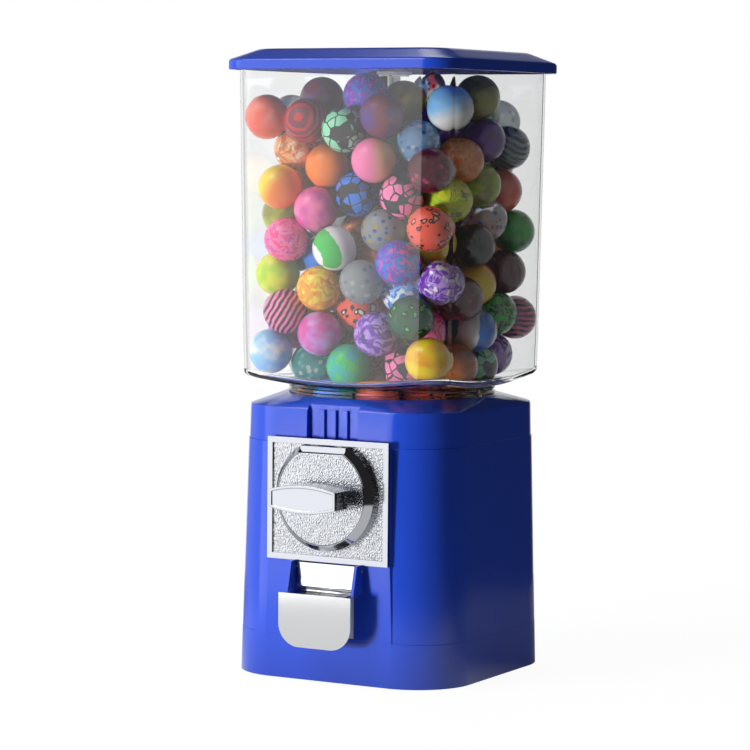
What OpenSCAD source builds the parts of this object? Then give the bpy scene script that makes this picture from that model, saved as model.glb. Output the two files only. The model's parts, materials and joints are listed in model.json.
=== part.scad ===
// Table-top ball vending machine: clear globe over a moulded body, with a crank coin mechanism
// that turns a six-pocket wheel. Front faces -Y, +X is to the right, +Z is up, millimetres.
// The origin is on the table, under the middle of the base.

/* [Body] */
// Width and depth of the body at the table
base_w = 158.4; // [150:0.2:170]
// Width and depth of the top cap at its upper edge
cap_w = 150.6; // [146:0.2:160]
// Plan radius of the body's corners
body_r = 37.5; // [30:0.5:40]
// Height of the seam between the base and the main housing
base_top = 28.3; // [24:0.1:36]
// Height of the seam between the main housing and the top cap
housing_top = 148; // [140:0.5:165]
// Height of the top cap's straight side
cap_h = 22.5; // [20:0.5:30]
// Rise from the cap's upper edge to the socket around the globe's neck
cap_rise = 5.5; // [3:0.5:9]
// Wall of the moulded shells
wall = 3; // [2.4:0.1:3.6]
// Height of the rubber feet below the base
foot_stand = 0.8; // [0.5:0.1:2]
// Diameter of a rubber foot
foot_d = 16; // [12:0.5:20]

/* [Front pad and rib recess] */
// How far the flat pad stands out of the body at the plate's lower edge
pad_proud = 1.53; // [1.4:0.01:3.6]
// Width of the pad behind the coin mechanism
pad_w_top = 82; // [78:0.5:84]
// Width of the pad at the lower seam
pad_w_low = 90; // [84:0.5:96]
// Width of the recess in the top cap
recess_w = 36; // [32:0.5:44]
// Depth of the recess in the top cap
recess_deep = 3.2; // [2:0.1:4]
// Width of one rib in the recess
rib_w = 3.3; // [2.4:0.1:4.5]
// Distance between the ribs
rib_pitch = 8.2; // [7:0.1:10]

/* [Globe] */
// Width of the globe just under the lid
globe_w_top = 151; // [146:0.5:154]
// Width of the globe at its floor
globe_w_low = 145.6; // [142:0.5:148]
// Plan radius of the globe's corners
globe_r = 16; // [12:0.5:24]
// Wall of the globe
globe_wall = 2.5; // [2:0.1:3]
// Height of the globe's walls
globe_h = 201.6; // [180:0.2:215]
// Outer diameter of the globe's neck
neck_d = 130; // [128:0.5:134]
// Length of neck that shows between the cap and the globe's floor
neck_show = 5.4; // [4:0.1:9]
// Rise of the globe's floor per millimetre outwards
floor_slope = 0.2; // [0.15:0.01:0.3]

/* [Lid] */
// Width of the lid's rim
lid_w = 162.6; // [160:0.2:170]
// Plan radius of the lid's corners
lid_r = 19; // [16:0.5:26]
// Height of the lid's upright rim
lid_rim_h = 7.1; // [6:0.1:12]
// Height of the lid's sloping top
lid_slope_h = 6.2; // [5:0.1:12]
// Width of the lid's flat top
lid_top_w = 131.4; // [120:0.2:140]
// How far the lid's rim hangs below the globe's edge
lid_hang = 4.3; // [3:0.1:6]

/* [Balls] */
// Diameter of a vended ball
ball_d = 28; // [27:0.1:28.4]
// Share of the globe that the balls' own volume fills
ball_fill = 0.493; // [0.1:0.001:0.5]
// Places tried for each step of a ball's way down
drop_tries = 8; // [6:1:16]

/* [Ball wheel] */
// Teeth on the crank's pinion
pinion_teeth = 10; // [10:1:10]
// Ball pockets in the wheel, which is also its ratio to the crank
pockets = 6; // [6:1:6]
// Gear module
gear_module = 1.9; // [1.86:0.01:1.96]
// Distance from the wheel's axis to the middle of a pocket
pocket_reach = 34; // [33.4:0.1:35]
// Diameter of a pocket
pocket_d = 30.6; // [29.6:0.1:31]
// Thickness of the wheel
wheel_h = 25; // [22:0.5:26]
// Diameter of the centre rod
rod_d = 8; // [6:0.5:9]

/* [Coin mechanism] */
// Width of the coin mechanism's face plate
plate_w = 86; // [85:0.5:92]
// Height of the coin mechanism's face plate
plate_h = 76.2; // [74:0.2:80]
// Drop from the upper seam to the dial's axis
dial_drop = 30.5; // [29:0.5:32]
// Distance from the dial's axis up to the plate's top edge
plate_above = 34.3; // [33.5:0.1:36]
// Diameter of the turning dial
dial_d = 60.6; // [58:0.2:62]
// Outer diameter of the fixed ring around the dial
ring_d = 69; // [67:0.2:71]
// How far the ring stands off the plate
ring_h = 8.8; // [7:0.1:11]
// Width of the coin notch in the ring
notch_w = 32; // [28:0.5:34]
// Diameter of the coin that the mechanism takes
coin_d = 24.3; // [21:0.1:26]
// Thickness of the coin slot
slot_t = 2.2; // [1.8:0.1:3]
// Length of the handle
handle_l = 46.4; // [40:0.2:50]
// Height of the handle at its middle
handle_mid = 17.3; // [15:0.1:20]
// Height of the handle at its ends
handle_end = 11; // [9:0.1:13]
// Depth of the handle
handle_deep = 15; // [12:0.5:18]
// Distance from the handle's back to the dial
handle_off = 7.6; // [6:0.1:10]
// Diameter of the crank shaft
shaft_d = 10; // [8:0.5:10.5]

/* [Door] */
// Width of the door's upper part
door_w = 41; // [38:0.5:42]
// Width of the door's hanging tongue
tongue_w = 51.2; // [46:0.2:56]
// Height of the tongue
tongue_h = 33.5; // [28:0.5:36]
// How far the door's ledge stands out
ledge_out = 16; // [14:0.5:20]
// Radius of the tongue's lower corners
tongue_r = 14.5; // [8:0.5:18]
// Thickness of the door's sheet
sheet_t = 0.8; // [0.6:0.1:1.2]
// Diameter of the door's hinge pin
pin_d = 1.8; // [1.5:0.1:2]

/* [Hidden] */
$fn = 72;

// Clearances: parts that only lie together, parts that turn, a shaft in its bore.
seat = 0.3;
swing_gap = 0.5;
run = 0.05;
past = 1;

blue = [0.16, 0.24, 0.78];
chrome = [0.86, 0.87, 0.89];
steel = [0.72, 0.73, 0.75];
zinc = [0.62, 0.63, 0.66];
brass = [0.80, 0.64, 0.32];
rubber = [0.08, 0.08, 0.09];
white = [0.93, 0.93, 0.91];
clear = [0.85, 0.92, 0.95, 0.35];

// Body heights
cap_edge = housing_top + cap_h;
cap_top = cap_edge + cap_rise;
cap_round = 2.5;
lip_h = 5;
lip_t = 2;
lip_in = wall + seat + lip_t;
corner_steps = 20;
rib_proud = 1.9;
floor_t = 3;
base_low = foot_stand;
base_floor = base_low + floor_t;

// Half width of the tapered body at a height
function body_half(z) = (base_w + (cap_w - base_w) * z / cap_edge) / 2;

// Place along X and Y of a boss that joins the body's rounded corner from inside
function corner_boss(z) =
    body_half(z) - body_r + (body_r - wall + boss_sink - boss_r) / sqrt(2);

// Feet and screws
foot_sink = 2;
foot_at = base_w / 2 - 28;
boss_r = 5;
boss_sink = 0.8;
screw_r = 1.5;
head_r = 3;
head_h = 2.2;
lug_h = 4;
cap_boss_h = 26;
base_boss_h = 16;
screw_at = corner_boss(housing_top - cap_boss_h);
base_screw_at = corner_boss(base_top);

// Ball wheel stack, from the dial's axis upwards
dial_z = housing_top - dial_drop;
pitch_r = gear_module * pinion_teeth / 2;
crown_teeth = pinion_teeth * pockets;
crown_r = pitch_r * pockets;
addendum = 0.8 * gear_module;
dedendum = 1.05 * gear_module;
tooth_at_pitch = PI * gear_module / 2 - 0.5;
pressure = 25;
gear_face = 6;
crown_face = 8.4;
wheel_r = crown_r + crown_face / 2 + 0.3;
wheel_low = dial_z + pitch_r + dedendum;
wheel_top = wheel_low + wheel_h;
bush_wall = 2.5;
bush_r = rod_d / 2 + run + bush_wall;
hopper_floor = wheel_low - seat;
hopper_floor_t = 3;
hopper_inner = wheel_r + 0.7;
hopper_wall = 3;
trough_in = crown_r - crown_face / 2 - 1.2;
trough_wall = 2;
trough_low = wheel_low - addendum - dedendum - 1.4;
trough_t = 2.5;
ball_rest = hopper_floor + ball_d / 2 + 0.05;
ball_crown = ball_rest + ball_d / 2;
guard_low = max(ball_crown, wheel_top) + swing_gap;
guard_t = 2;
guard_w = pocket_d + 9;
guard_top = guard_low + guard_t;
hopper_top = guard_top + 1;
flange_r = hopper_inner + hopper_wall + 3;
flange_t = 3;
drop_d = pocket_d + 1;

// Neck seat
ledge_t = 3;
ledge_top = hopper_top + ledge_t;
gasket_t = 1.5;
neck_low = ledge_top + gasket_t;
neck_r = neck_d / 2;
neck_bore = neck_r - globe_wall;
socket_r = neck_r + 0.5;
globe_floor = cap_top + neck_show;
globe_top = globe_floor + globe_h;
ball_count = round(ball_fill * globe_w_low * globe_w_top * globe_h / (PI / 6 * pow(ball_d, 3)));

// Lid and lock
lid_low = globe_top - lid_hang;
lid_rim_top = lid_low + lid_rim_h;
lid_flat = lid_rim_top + lid_slope_h;
lid_wall = 3;
lid_seat = globe_top + seat;
lock_r = 9.5;
lock_flange_r = 12;
lock_flange_t = 1.2;
lock_below = 3;
lock_nut_r = 12.5;
lock_nut_h = 2;
lock_low = lid_low - lock_below;
lock_core_r = 6;
lock_core_t = 6;
lock_top = lid_flat + lock_flange_t;
rod_end = lock_top - lock_core_t - 3;
key_w = 6.5;
key_t = 1.4;
key_deep = 3;
thread_gap = 0.05;

// Centre rod in the base
nut_r = 7.5;
nut_h = 6.5;
washer_r = 8.6;
washer_t = 1.2;
nut_pit = 8.4;
nut_pit_r = washer_r + 0.6;
nut_boss_r = nut_pit_r + 2.6;
rod_low = base_low + 0.6;
cap_nut_r = 7;
cap_nut_h = 3.4;

// Coin box
box_wall = 1.6;
box_half = base_w / 2 - 11.2;
box_r = body_r - 1.5;
box_low = base_floor + 0.1;
box_top = base_top - 3;

// Chute
chute_in = ball_d + 4;
chute_wall = 2;
chute_back = -(pocket_reach - chute_in / 2);
chute_front = chute_back - chute_in;
chute_top = trough_low - trough_t - 0.1;
mouth_low = base_top + 3;
mouth_top = mouth_low + ball_d + 6;
chute_turn = mouth_low + 33;
chute_ceiling = mouth_top + 5;

// Coin mechanism
plate_top = dial_z + plate_above;
plate_low = plate_top - plate_h;
pad_front = body_half(plate_low) + pad_proud;
plate_t = 1.2;
border_w = 3.7;
border_t = 1;
field_y = -pad_front - plate_t;
ring_front = field_y - ring_h;
dial_r = dial_d / 2;
ring_slope = ring_h / 2;
dial_front = ring_front;
disc_t = 2;
dial_flat = 0.86 * dial_r;
carrier_back = field_y - 0.2;
mech_w = 62;
mech_low = dial_z - 31;
mech_top = dial_z + 26;
mech_back = -pad_front + 10;
mech_wall = 2.5;
plate_boss_r = 3.2;
plate_boss_h = 3;
plate_screw_x = plate_w / 2 - 4.6;
plate_screw_low = plate_low + 4.4;
plate_screw_top = housing_top - 5.6;
ratchet_r = 18;
ratchet_t = 2;
mech_front_wall = 3;
ratchet_teeth = 12;
ratchet_back = mech_back - mech_wall - 0.3;
pawl_l = 17;
pawl_x = 20.5;
pawl_z = dial_z - ratchet_r + 5;
pawl_pin_r = 1.5;
pinion_mid = -crown_r;
shaft_back = pinion_mid + gear_face / 2 + 1.6;
handle_back = dial_front - handle_off;
handle_front = handle_back - handle_deep;
stem_share = 0.84;
inset_deep = 0.6;
inset_edge = 1.7;

// Door
hinge_y = -pad_front - 0.4;
hinge_z = plate_low - 3.8;
knuckle_r = 1.7;
door_top = plate_low - 1;
bend_r = 7.5;
tongue_top = hinge_z - 14.3;
ear_t = 2;
ear_x = door_w / 2 + 1.8 + ear_t / 2;
ear_low = tongue_top - 0.5;
ear_out_low = 11.4;
ear_out_top = 6.7;
ear_top = plate_low - 0.2;
hinge_recess = 2.5;
roof_room = 1.1;
door_y = hinge_y - knuckle_r + sheet_t;

// ---------------------------------------------------------------- helpers

// The outline of a rounded square of half width h, corner by corner.
function square_points(h, r) = [for (q = [0 : 3], i = [0 : corner_steps])
    let (a = 90 * (q + i / corner_steps))
    [(h - r) * (q == 0 || q == 3 ? 1 : -1) + r * cos(a), (h - r) * (q < 2 ? 1 : -1) + r * sin(a)]];

// A rounded square column whose half width goes from h0 at z0 to h1 at z1.
module taper(z0, z1, h0, h1, r) {
    translate([0, 0, z0])
        linear_extrude(height = z1 - z0, scale = h1 / h0) polygon(square_points(h0, r));
}

// A slice of the body between two heights, inset from its surface.
module body_slice(z0, z1, inset = 0) {
    taper(z0, z1, body_half(z0) - inset, body_half(z1) - inset, body_r - inset);
}

// A cylinder lying along Y between two places.
module rod_y(y0, y1, r) {
    translate([0, y1, 0]) rotate([90, 0, 0]) cylinder(h = y1 - y0, r = r);
}

// A cylinder lying along X, centred.
module rod_x(l, r) {
    rotate([0, 90, 0]) cylinder(h = l, r = r, center = true);
}

module four(x, y) {
    for (sx = [-1, 1], sy = [-1, 1]) translate([sx * x, sy * y, 0]) children();
}

// A ring standing on z = 0.
module tube(r_out, r_in, h) {
    difference() {
        cylinder(h = h, r = r_out);
        translate([0, 0, -past]) cylinder(h = h + 2 * past, r = r_in);
    }
}

// ---------------------------------------------------------------- body

module base_shell() {
    color(blue) difference() {
        union() {
            difference() {
                union() {
                    body_slice(base_low, base_top);
                    body_slice(base_top - past, base_top + lip_h, wall + seat);
                }
                body_slice(base_floor, base_top + lip_h + past, lip_in);
                // The lip leaves room for the housing's bosses and for the chute
                four(base_screw_at, base_screw_at)
                    translate([0, 0, base_top]) cylinder(h = lip_h + past, r = boss_r + seat);
                translate([-chute_in / 2 - chute_wall - 1, -base_w, base_top])
                    cube([chute_in + 2 * chute_wall + 2, base_w, lip_h + past]);
            }
            translate([0, 0, base_low]) cylinder(h = nut_pit + floor_t, r = nut_boss_r);
            four(base_screw_at, base_screw_at)
                translate([0, 0, base_low]) cylinder(h = base_top - base_low, r = boss_r);
        }
        translate([0, 0, base_low - past]) cylinder(h = nut_pit + past, r = nut_pit_r);
        cylinder(h = nut_pit + 2 * floor_t + past, r = rod_d / 2 + seat);
        four(foot_at, foot_at)
            translate([0, 0, base_low - past]) cylinder(h = foot_sink + past, r = foot_d / 2 + run);
        four(base_screw_at, base_screw_at) {
            cylinder(h = base_top + past, r = screw_r + run);
            translate([0, 0, base_low - past]) cylinder(h = head_h + 1 + past, r = head_r + seat);
        }
    }
}

module rubber_feet() {
    color(rubber) four(foot_at, foot_at) cylinder(h = foot_stand + foot_sink, r = foot_d / 2);
}

// The flat pad's sides slope back to the body.
module front_pad() {
    low = base_top + 0.05;
    top = housing_top;
    mid = plate_low;
    back = body_half(housing_top) - 1;
    edge = 1.6;
    module face(grow) {
        rotate([90, 0, 0]) linear_extrude(height = 0.1)
            polygon([[-pad_w_top / 2 - grow, top], [-pad_w_top / 2 - grow, mid],
                [-pad_w_low / 2 - grow / 2, low], [pad_w_low / 2 + grow / 2, low],
                [pad_w_top / 2 + grow, mid], [pad_w_top / 2 + grow, top]]);
    }
    hull() {
        translate([0, -pad_front + 0.1, 0]) face(0);
        translate([0, -back, 0]) face(edge);
    }
}

module ear() {
    rotate([90, 0, 90]) linear_extrude(height = ear_t, center = true)
        polygon([[-pad_front + 1.5, ear_low], [-pad_front - ear_out_low, ear_low],
            [-pad_front - ear_out_top, ear_top], [-pad_front + 1.5, ear_top]]);
}

module main_housing() {
    hole_w = mech_w + 2 * seat;
    mouth_w = chute_in + 2 * chute_wall + 2 * seat;
    color(blue) difference() {
        union() {
            difference() {
                union() {
                    body_slice(base_top, housing_top);
                    front_pad();
                }
                body_slice(base_top - past, housing_top + past, wall);
            }
            for (s = [-1, 1]) translate([s * ear_x, 0, 0]) ear();
            four(screw_at, screw_at)
                translate([0, 0, housing_top - cap_boss_h]) cylinder(h = cap_boss_h, r = boss_r);
            four(base_screw_at, base_screw_at)
                translate([0, 0, base_top]) cylinder(h = base_boss_h, r = boss_r);
        }
        // Hole for the coin mechanism's case
        translate([-hole_w / 2, -pad_front - past, mech_low - seat])
            cube([hole_w, pad_front - body_half(housing_top) + wall + 4, mech_top - mech_low + 2 * seat]);
        // Mouth of the chute
        translate([-mouth_w / 2, -pad_front - past, mouth_low - chute_wall - seat])
            cube([mouth_w, 12, mouth_top - mouth_low + 2 * chute_wall + seat + roof_room]);
        // Recess behind the door's hinge, and its pin's holes
        translate([-ear_x + ear_t / 2, -pad_front - past, mouth_top])
            cube([2 * ear_x - ear_t, hinge_recess + past, ear_top + 0.5 - mouth_top]);
        translate([0, hinge_y, hinge_z]) rod_x(2 * ear_x + 2 * ear_t, pin_d / 2 + run);
        // Pits for the face plate's bosses, with their screw holes
        for (x = [-1, 1], z = [plate_screw_low, plate_screw_top])
            translate([x * plate_screw_x, 0, z]) {
                rod_y(-pad_front - past, -pad_front + plate_boss_h, plate_boss_r + 0.2);
                rod_y(-pad_front, -pad_front + 12, screw_r + run);
            }
        // Screw holes
        four(screw_at, screw_at)
            translate([0, 0, housing_top - cap_boss_h + 4]) cylinder(h = cap_boss_h, r = screw_r + run);
        four(base_screw_at, base_screw_at)
            translate([0, 0, base_top - past]) cylinder(h = base_boss_h - 2, r = screw_r + run);
    }
}

// Outside of the cap: straight side, rounded edge, gentle rise to the socket.
module cap_form(inset) {
    hull() {
        body_slice(housing_top, cap_edge - cap_round, inset);
        taper(cap_edge - 0.75, cap_edge - inset, body_half(cap_edge) - 0.8 - inset,
            body_half(cap_edge) - cap_round - inset, body_r - cap_round);
        translate([0, 0, cap_top - 1 - inset]) cylinder(h = 1, r = socket_r + 2.6);
    }
}

module top_cap() {
    floor_y = -body_half(cap_edge) + recess_deep;
    color(blue) difference() {
        union() {
            difference() {
                union() {
                    cap_form(0);
                    body_slice(housing_top - lip_h, housing_top + past, wall + seat);
                }
                difference() {
                    body_slice(housing_top - lip_h - past, cap_edge - wall, lip_in);
                    translate([0, 0, hopper_top]) cylinder(h = 40, r = socket_r + wall);
                }
                translate([-plate_w / 2, -base_w, housing_top - lip_h - past])
                    cube([plate_w, base_w, lip_h + past]);
                four(screw_at, screw_at)
                    translate([0, 0, housing_top - lip_h - past]) cylinder(h = lip_h + past, r = boss_r + 1);
            }
            four(screw_at, screw_at) translate([0, 0, housing_top]) cylinder(h = lug_h, r = boss_r);
        }
        // Recess in the front, open at its top, with its ribs left standing
        difference() {
            translate([-recess_w / 2, -base_w / 2, housing_top - lip_h - past])
                cube([recess_w, base_w / 2 + floor_y, cap_h + cap_rise + 2 * lip_h]);
            for (i = [-1, 0, 1])
                translate([i * rib_pitch - rib_w / 2, floor_y - rib_proud, 0])
                    cube([rib_w, 3, cap_edge - cap_round / 2]);
        }
        // Socket and throat
        translate([0, 0, ledge_top]) cylinder(h = cap_top, r = socket_r);
        translate([0, 0, hopper_top - past]) cylinder(h = cap_top, r = neck_bore - 0.5);
        four(screw_at, screw_at) translate([0, 0, housing_top - past]) {
            cylinder(h = lug_h + 2 * past, r = screw_r + run);
            translate([0, 0, lug_h + past]) cylinder(h = 2 * head_h, r = head_r + seat);
        }
    }
}

// A screw pointing down from its head's seat.
module screw_down(l) {
    cylinder(h = head_h, r = head_r);
    translate([0, 0, -l]) cylinder(h = l + 0.1, r = screw_r);
}

module base_screws() {
    color(steel) four(base_screw_at, base_screw_at)
        translate([0, 0, base_low + head_h + 1 - run]) mirror([0, 0, 1]) screw_down(base_top - base_low + 6);
}

module cap_screws() {
    color(steel) four(screw_at, screw_at)
        translate([0, 0, housing_top + lug_h + run]) screw_down(lug_h + 16);
}

module coin_box() {
    color(zinc) difference() {
        union() {
            difference() {
                taper(box_low, box_top, box_half, box_half, box_r);
                taper(box_low + box_wall, box_top + past, box_half - box_wall, box_half - box_wall,
                    box_r - box_wall);
            }
            translate([0, 0, box_low])
                cylinder(h = box_top - box_low - 6, r = nut_boss_r + seat + box_wall);
        }
        translate([0, 0, box_low - past])
            cylinder(h = box_top - box_low + 2 * past, r = nut_boss_r + seat);
    }
}

// ---------------------------------------------------------------- rod and ball wheel

module centre_rod() {
    color(steel) translate([0, 0, rod_low]) cylinder(h = rod_end - rod_low, r = rod_d / 2);
}

module hex_nut(r, h) {
    difference() {
        cylinder(h = h, r = r, $fn = 6);
        translate([0, 0, -past]) cylinder(h = h + 2 * past, r = rod_d / 2 + run);
    }
}

module rod_nut() {
    color(steel) translate([0, 0, base_low + nut_pit]) {
        translate([0, 0, -washer_t]) tube(washer_r, rod_d / 2 + run, washer_t);
        translate([0, 0, -washer_t - nut_h]) hex_nut(nut_r, nut_h);
    }
}

module hub_nut() {
    color(steel) translate([0, 0, wheel_top + swing_gap]) hex_nut(cap_nut_r, cap_nut_h);
}

module wheel_bush() {
    color(brass) translate([0, 0, hopper_floor - hopper_floor_t])
        tube(bush_r, rod_d / 2 + run, wheel_top + swing_gap - hopper_floor + hopper_floor_t);
}

// Cup around the wheel: floor under the pockets, trough under the teeth.
module wheel_housing() {
    outer = hopper_inner + hopper_wall;
    color(white) difference() {
        union() {
            translate([0, 0, trough_low - trough_t]) cylinder(h = hopper_top - trough_low + trough_t, r = outer);
            translate([0, 0, hopper_top - flange_t]) cylinder(h = flange_t, r = flange_r);
        }
        translate([0, 0, hopper_floor]) cylinder(h = hopper_top, r = hopper_inner);
        translate([0, 0, trough_low]) tube(hopper_inner, trough_in, hopper_floor - trough_low + past);
        translate([0, 0, trough_low - trough_t - past])
            cylinder(h = hopper_floor - trough_low + trough_t - hopper_floor_t + past, r = trough_in - trough_wall);
        // Drop hole, bush hole and the pinion's window
        translate([0, -pocket_reach, trough_low - past]) cylinder(h = 20, d = drop_d);
        translate([0, 0, trough_low - past]) cylinder(h = 20, r = bush_r + run);
        translate([-pitch_r - 3.5, -outer - past, trough_low - trough_t - past])
            cube([2 * pitch_r + 7, outer - trough_in + trough_wall + 2 * past,
                hopper_floor - trough_low + trough_t + 3]);
    }
}

// Point of an involute at a roll angle, turned by a start angle.
function involute(rb, a, start) =
    [rb * (cos(a + start) + a * PI / 180 * sin(a + start)),
     rb * (sin(a + start) - a * PI / 180 * cos(a + start))];

module pinion_outline() {
    rb = pitch_r * cos(pressure);
    ra = pitch_r + addendum;
    rf = pitch_r - dedendum;
    roll_pitch = sqrt(pow(pitch_r / rb, 2) - 1) * 180 / PI;
    roll_tip = sqrt(pow(ra / rb, 2) - 1) * 180 / PI;
    lean = roll_pitch - pressure;
    half_tooth = tooth_at_pitch / pitch_r / 2 * 180 / PI;
    start = -half_tooth - lean;
    steps = 5;
    right = [for (i = [0 : steps]) involute(rb, roll_tip * i / steps, start)];
    left = [for (i = [steps : -1 : 0]) let (p = right[i]) [p[0], -p[1]]];
    circle(rf);
    for (i = [0 : pinion_teeth - 1])
        rotate(90 + i * 360 / pinion_teeth)
            polygon(concat([[0, 0], [rf * cos(start), rf * sin(start)]], right, left,
                [[rf * cos(start), -rf * sin(start)]]));
}

// The crown teeth are a rack bent into a ring.
module crown_tooth() {
    half = tooth_at_pitch / 2;
    lean = tan(pressure);
    rotate([90, 0, 0]) linear_extrude(height = crown_face, center = true)
        polygon([[-half - dedendum * lean, dedendum + 0.2], [-half + addendum * lean, -addendum],
            [half - addendum * lean, -addendum], [half + dedendum * lean, dedendum + 0.2]]);
}

module ball_wheel() {
    color(white) {
        difference() {
            translate([0, 0, wheel_low]) cylinder(h = wheel_h, r = wheel_r);
            for (i = [0 : pockets - 1])
                rotate(i * 360 / pockets) translate([0, -pocket_reach, wheel_low - past])
                    cylinder(h = wheel_h + 2 * past, d = pocket_d);
            translate([0, 0, wheel_low - past]) cylinder(h = wheel_h + 2 * past, r = bush_r + run);
            // Pockets between, so that the wheel is a light moulding
            for (i = [0 : pockets - 1])
                rotate((i + 0.5) * 360 / pockets) translate([0, -crown_r + 5.5, wheel_low - past])
                    cylinder(h = wheel_h - 2, r = 3.6);
        }
        for (i = [0 : crown_teeth - 1])
            rotate((i + 0.5) * 360 / crown_teeth) translate([0, -crown_r, dial_z + pitch_r]) crown_tooth();
    }
}

module wheel_balls() {
    color("tomato") for (i = [1 : pockets - 1])
        rotate(i * 360 / pockets) translate([0, -pocket_reach, ball_rest]) sphere(d = ball_d);
}

// Roof over the drop hole, so that balls reach it only in the wheel.
module ball_guard() {
    reach = hopper_inner - 0.2;
    color(white) translate([0, 0, guard_low]) difference() {
        union() {
            intersection() {
                cylinder(h = guard_t, r = reach);
                translate([-guard_w / 2, -reach - past, 0]) cube([guard_w, reach + past - 12, guard_t]);
            }
            intersection() {
                cylinder(h = guard_t + 6, r = reach);
                translate([-guard_w / 2, -reach - past, 0])
                    cube([guard_w, reach + past - sqrt(pow(reach, 2) - pow(guard_w / 2, 2)) + 2.5, guard_t + 1]);
            }
        }
    }
}

module product_chute() {
    w = chute_wall;
    inside = [[chute_back, chute_top + past], [chute_back, chute_turn],
        [-pad_front - past, mouth_low], [-pad_front - past, mouth_top],
        [chute_front, chute_ceiling], [chute_front, chute_top + past]];
    outside = [[chute_back + w, chute_top], [chute_back + w, chute_turn - w / 2],
        [-pad_front + 0.3, mouth_low - w], [-pad_front + 0.3, mouth_top + w],
        [chute_front - w, chute_ceiling + w], [chute_front - w, chute_top]];
    color(white) difference() {
        rotate([90, 0, 90]) linear_extrude(height = chute_in + 2 * w, center = true) polygon(outside);
        rotate([90, 0, 90]) linear_extrude(height = chute_in, center = true) polygon(inside);
    }
}

// ---------------------------------------------------------------- globe, lid, lock

module globe_gasket() {
    color(rubber) translate([0, 0, ledge_top]) tube(neck_r, neck_bore, gasket_t);
}

// Inside or outside form of the globe: walls above a dished floor, and the neck.
module globe_form(inset) {
    z_floor = globe_floor + inset;
    top = globe_top + inset;
    intersection() {
        taper(globe_floor - 5, top, globe_w_low / 2 - inset, globe_w_top / 2 - inset, globe_r - inset);
        rotate_extrude($fn = 96)
            polygon([[0, z_floor], [neck_r, z_floor], [globe_w_top, z_floor + (globe_w_top - neck_r) * floor_slope],
                [globe_w_top, top], [0, top]]);
    }
    translate([0, 0, neck_low - inset]) cylinder(h = z_floor - neck_low + 2 * inset + 0.5, r = neck_r - inset);
}

module globe() {
    color(clear) difference() {
        union() {
            globe_form(0);
            for (z = [cap_top + 1.2, cap_top + 3.6])
                translate([0, 0, z]) cylinder(h = 1, r = neck_r + 0.9);
        }
        globe_form(globe_wall);
    }
}

module lid() {
    skirt = lid_w / 2 - lid_wall;
    inner = globe_w_top / 2 - globe_wall - 1.5;
    slope_run = (lid_w - lid_top_w) / 2;
    color(blue) difference() {
        union() {
            taper(lid_low, lid_rim_top, lid_w / 2, lid_w / 2, lid_r);
            taper(lid_rim_top, lid_flat, lid_w / 2, lid_top_w / 2, lid_r);
        }
        taper(lid_low - past, lid_seat, skirt, skirt, lid_r - lid_wall);
        difference() {
            union() {
                taper(lid_low - past, lid_rim_top - lid_wall / 2, inner, inner, globe_r);
                taper(lid_rim_top - lid_wall / 2 - 0.01, lid_flat - lid_wall, inner,
                    lid_top_w / 2 - lid_wall, globe_r);
            }
            cylinder(h = lid_flat + past, r = lock_r + 4);
        }
        translate([0, 0, lock_low - past]) cylinder(h = lock_top - lock_low, r = lock_r + run);
    }
}

module lock_body() {
    color(chrome) difference() {
        union() {
            translate([0, 0, lock_low]) cylinder(h = lid_flat - lock_low + 0.1, r = lock_r);
            translate([0, 0, lid_flat]) cylinder(h = lock_flange_t, r = lock_flange_r);
        }
        translate([0, 0, lock_low - past])
            cylinder(h = rod_end - lock_low + past + 1, r = rod_d / 2 + thread_gap);
        translate([0, 0, lock_top - lock_core_t]) cylinder(h = lock_core_t + past, r = lock_core_r + run);
    }
}

module lock_nut() {
    color(steel) translate([0, 0, lid_low - lock_nut_h]) difference() {
        cylinder(h = lock_nut_h, r = lock_nut_r, $fn = 6);
        translate([0, 0, -past]) cylinder(h = lock_nut_h + 2 * past, r = lock_r + run);
    }
}

module lock_cylinder() {
    color(steel) difference() {
        translate([0, 0, lock_top - lock_core_t + 0.1]) cylinder(h = lock_core_t - 0.1, r = lock_core_r);
        translate([-key_w / 2, -key_t / 2, lock_top - key_deep]) cube([key_w, key_t, key_deep + past]);
    }
}

// ---------------------------------------------------------------- balls in the globe

keep_off = 0.15;
ball_r = ball_d / 2;
ball_gap = 0.04;
rod_reach = max(cap_nut_r, lock_r) + ball_r + keep_off;
wall_gap = globe_wall + ball_r + keep_off;
look_back = 64;
roll_step = 0.6;
ball_groups = 8;
ball_colours = ["coral", "orange", "hotpink", "yellowgreen", "mediumpurple", "gold", "steelblue",
    "seagreen", "tomato", "skyblue", "firebrick"];

// Half width that a ball's middle can reach at a height
function globe_half(z) =
    (globe_w_low + (globe_w_top - globe_w_low) * (z - globe_floor) / globe_h) / 2 - wall_gap;

// Height at which a ball's middle rests on the bare globe, over a place at x, y
function ground(x, y) =
    let (rho = norm([x, y]), reach = neck_bore - ball_r - keep_off, edge = globe_floor + globe_wall)
    rho < reach ? (abs(x) < guard_w / 2 + ball_r && y < -12 + ball_r ? guard_top : guard_low) + ball_r + 0.1
    : rho < neck_bore ? edge + sqrt(pow(ball_r + keep_off, 2) - pow(neck_bore - rho, 2))
    : edge + (rho - neck_bore) * floor_slope + (ball_r + keep_off) * norm([1, floor_slope]);

// Height at which it rests on the last balls that were laid
function rest_on(x, y, there) =
    max([for (i = [max(0, len(there) - look_back) : len(there) - 1])
        let (b = there[i], gap = norm([x - b[0], y - b[1]]))
        gap < ball_d + ball_gap ? b[2] + sqrt(pow(ball_d + ball_gap, 2) - gap * gap) : 0]);

function pick_low(tries, i = 0, best = undef) =
    i >= len(tries) ? best
    : pick_low(tries, i + 1, is_undef(best) || tries[i][2] < best[2] ? tries[i] : best);

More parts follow.
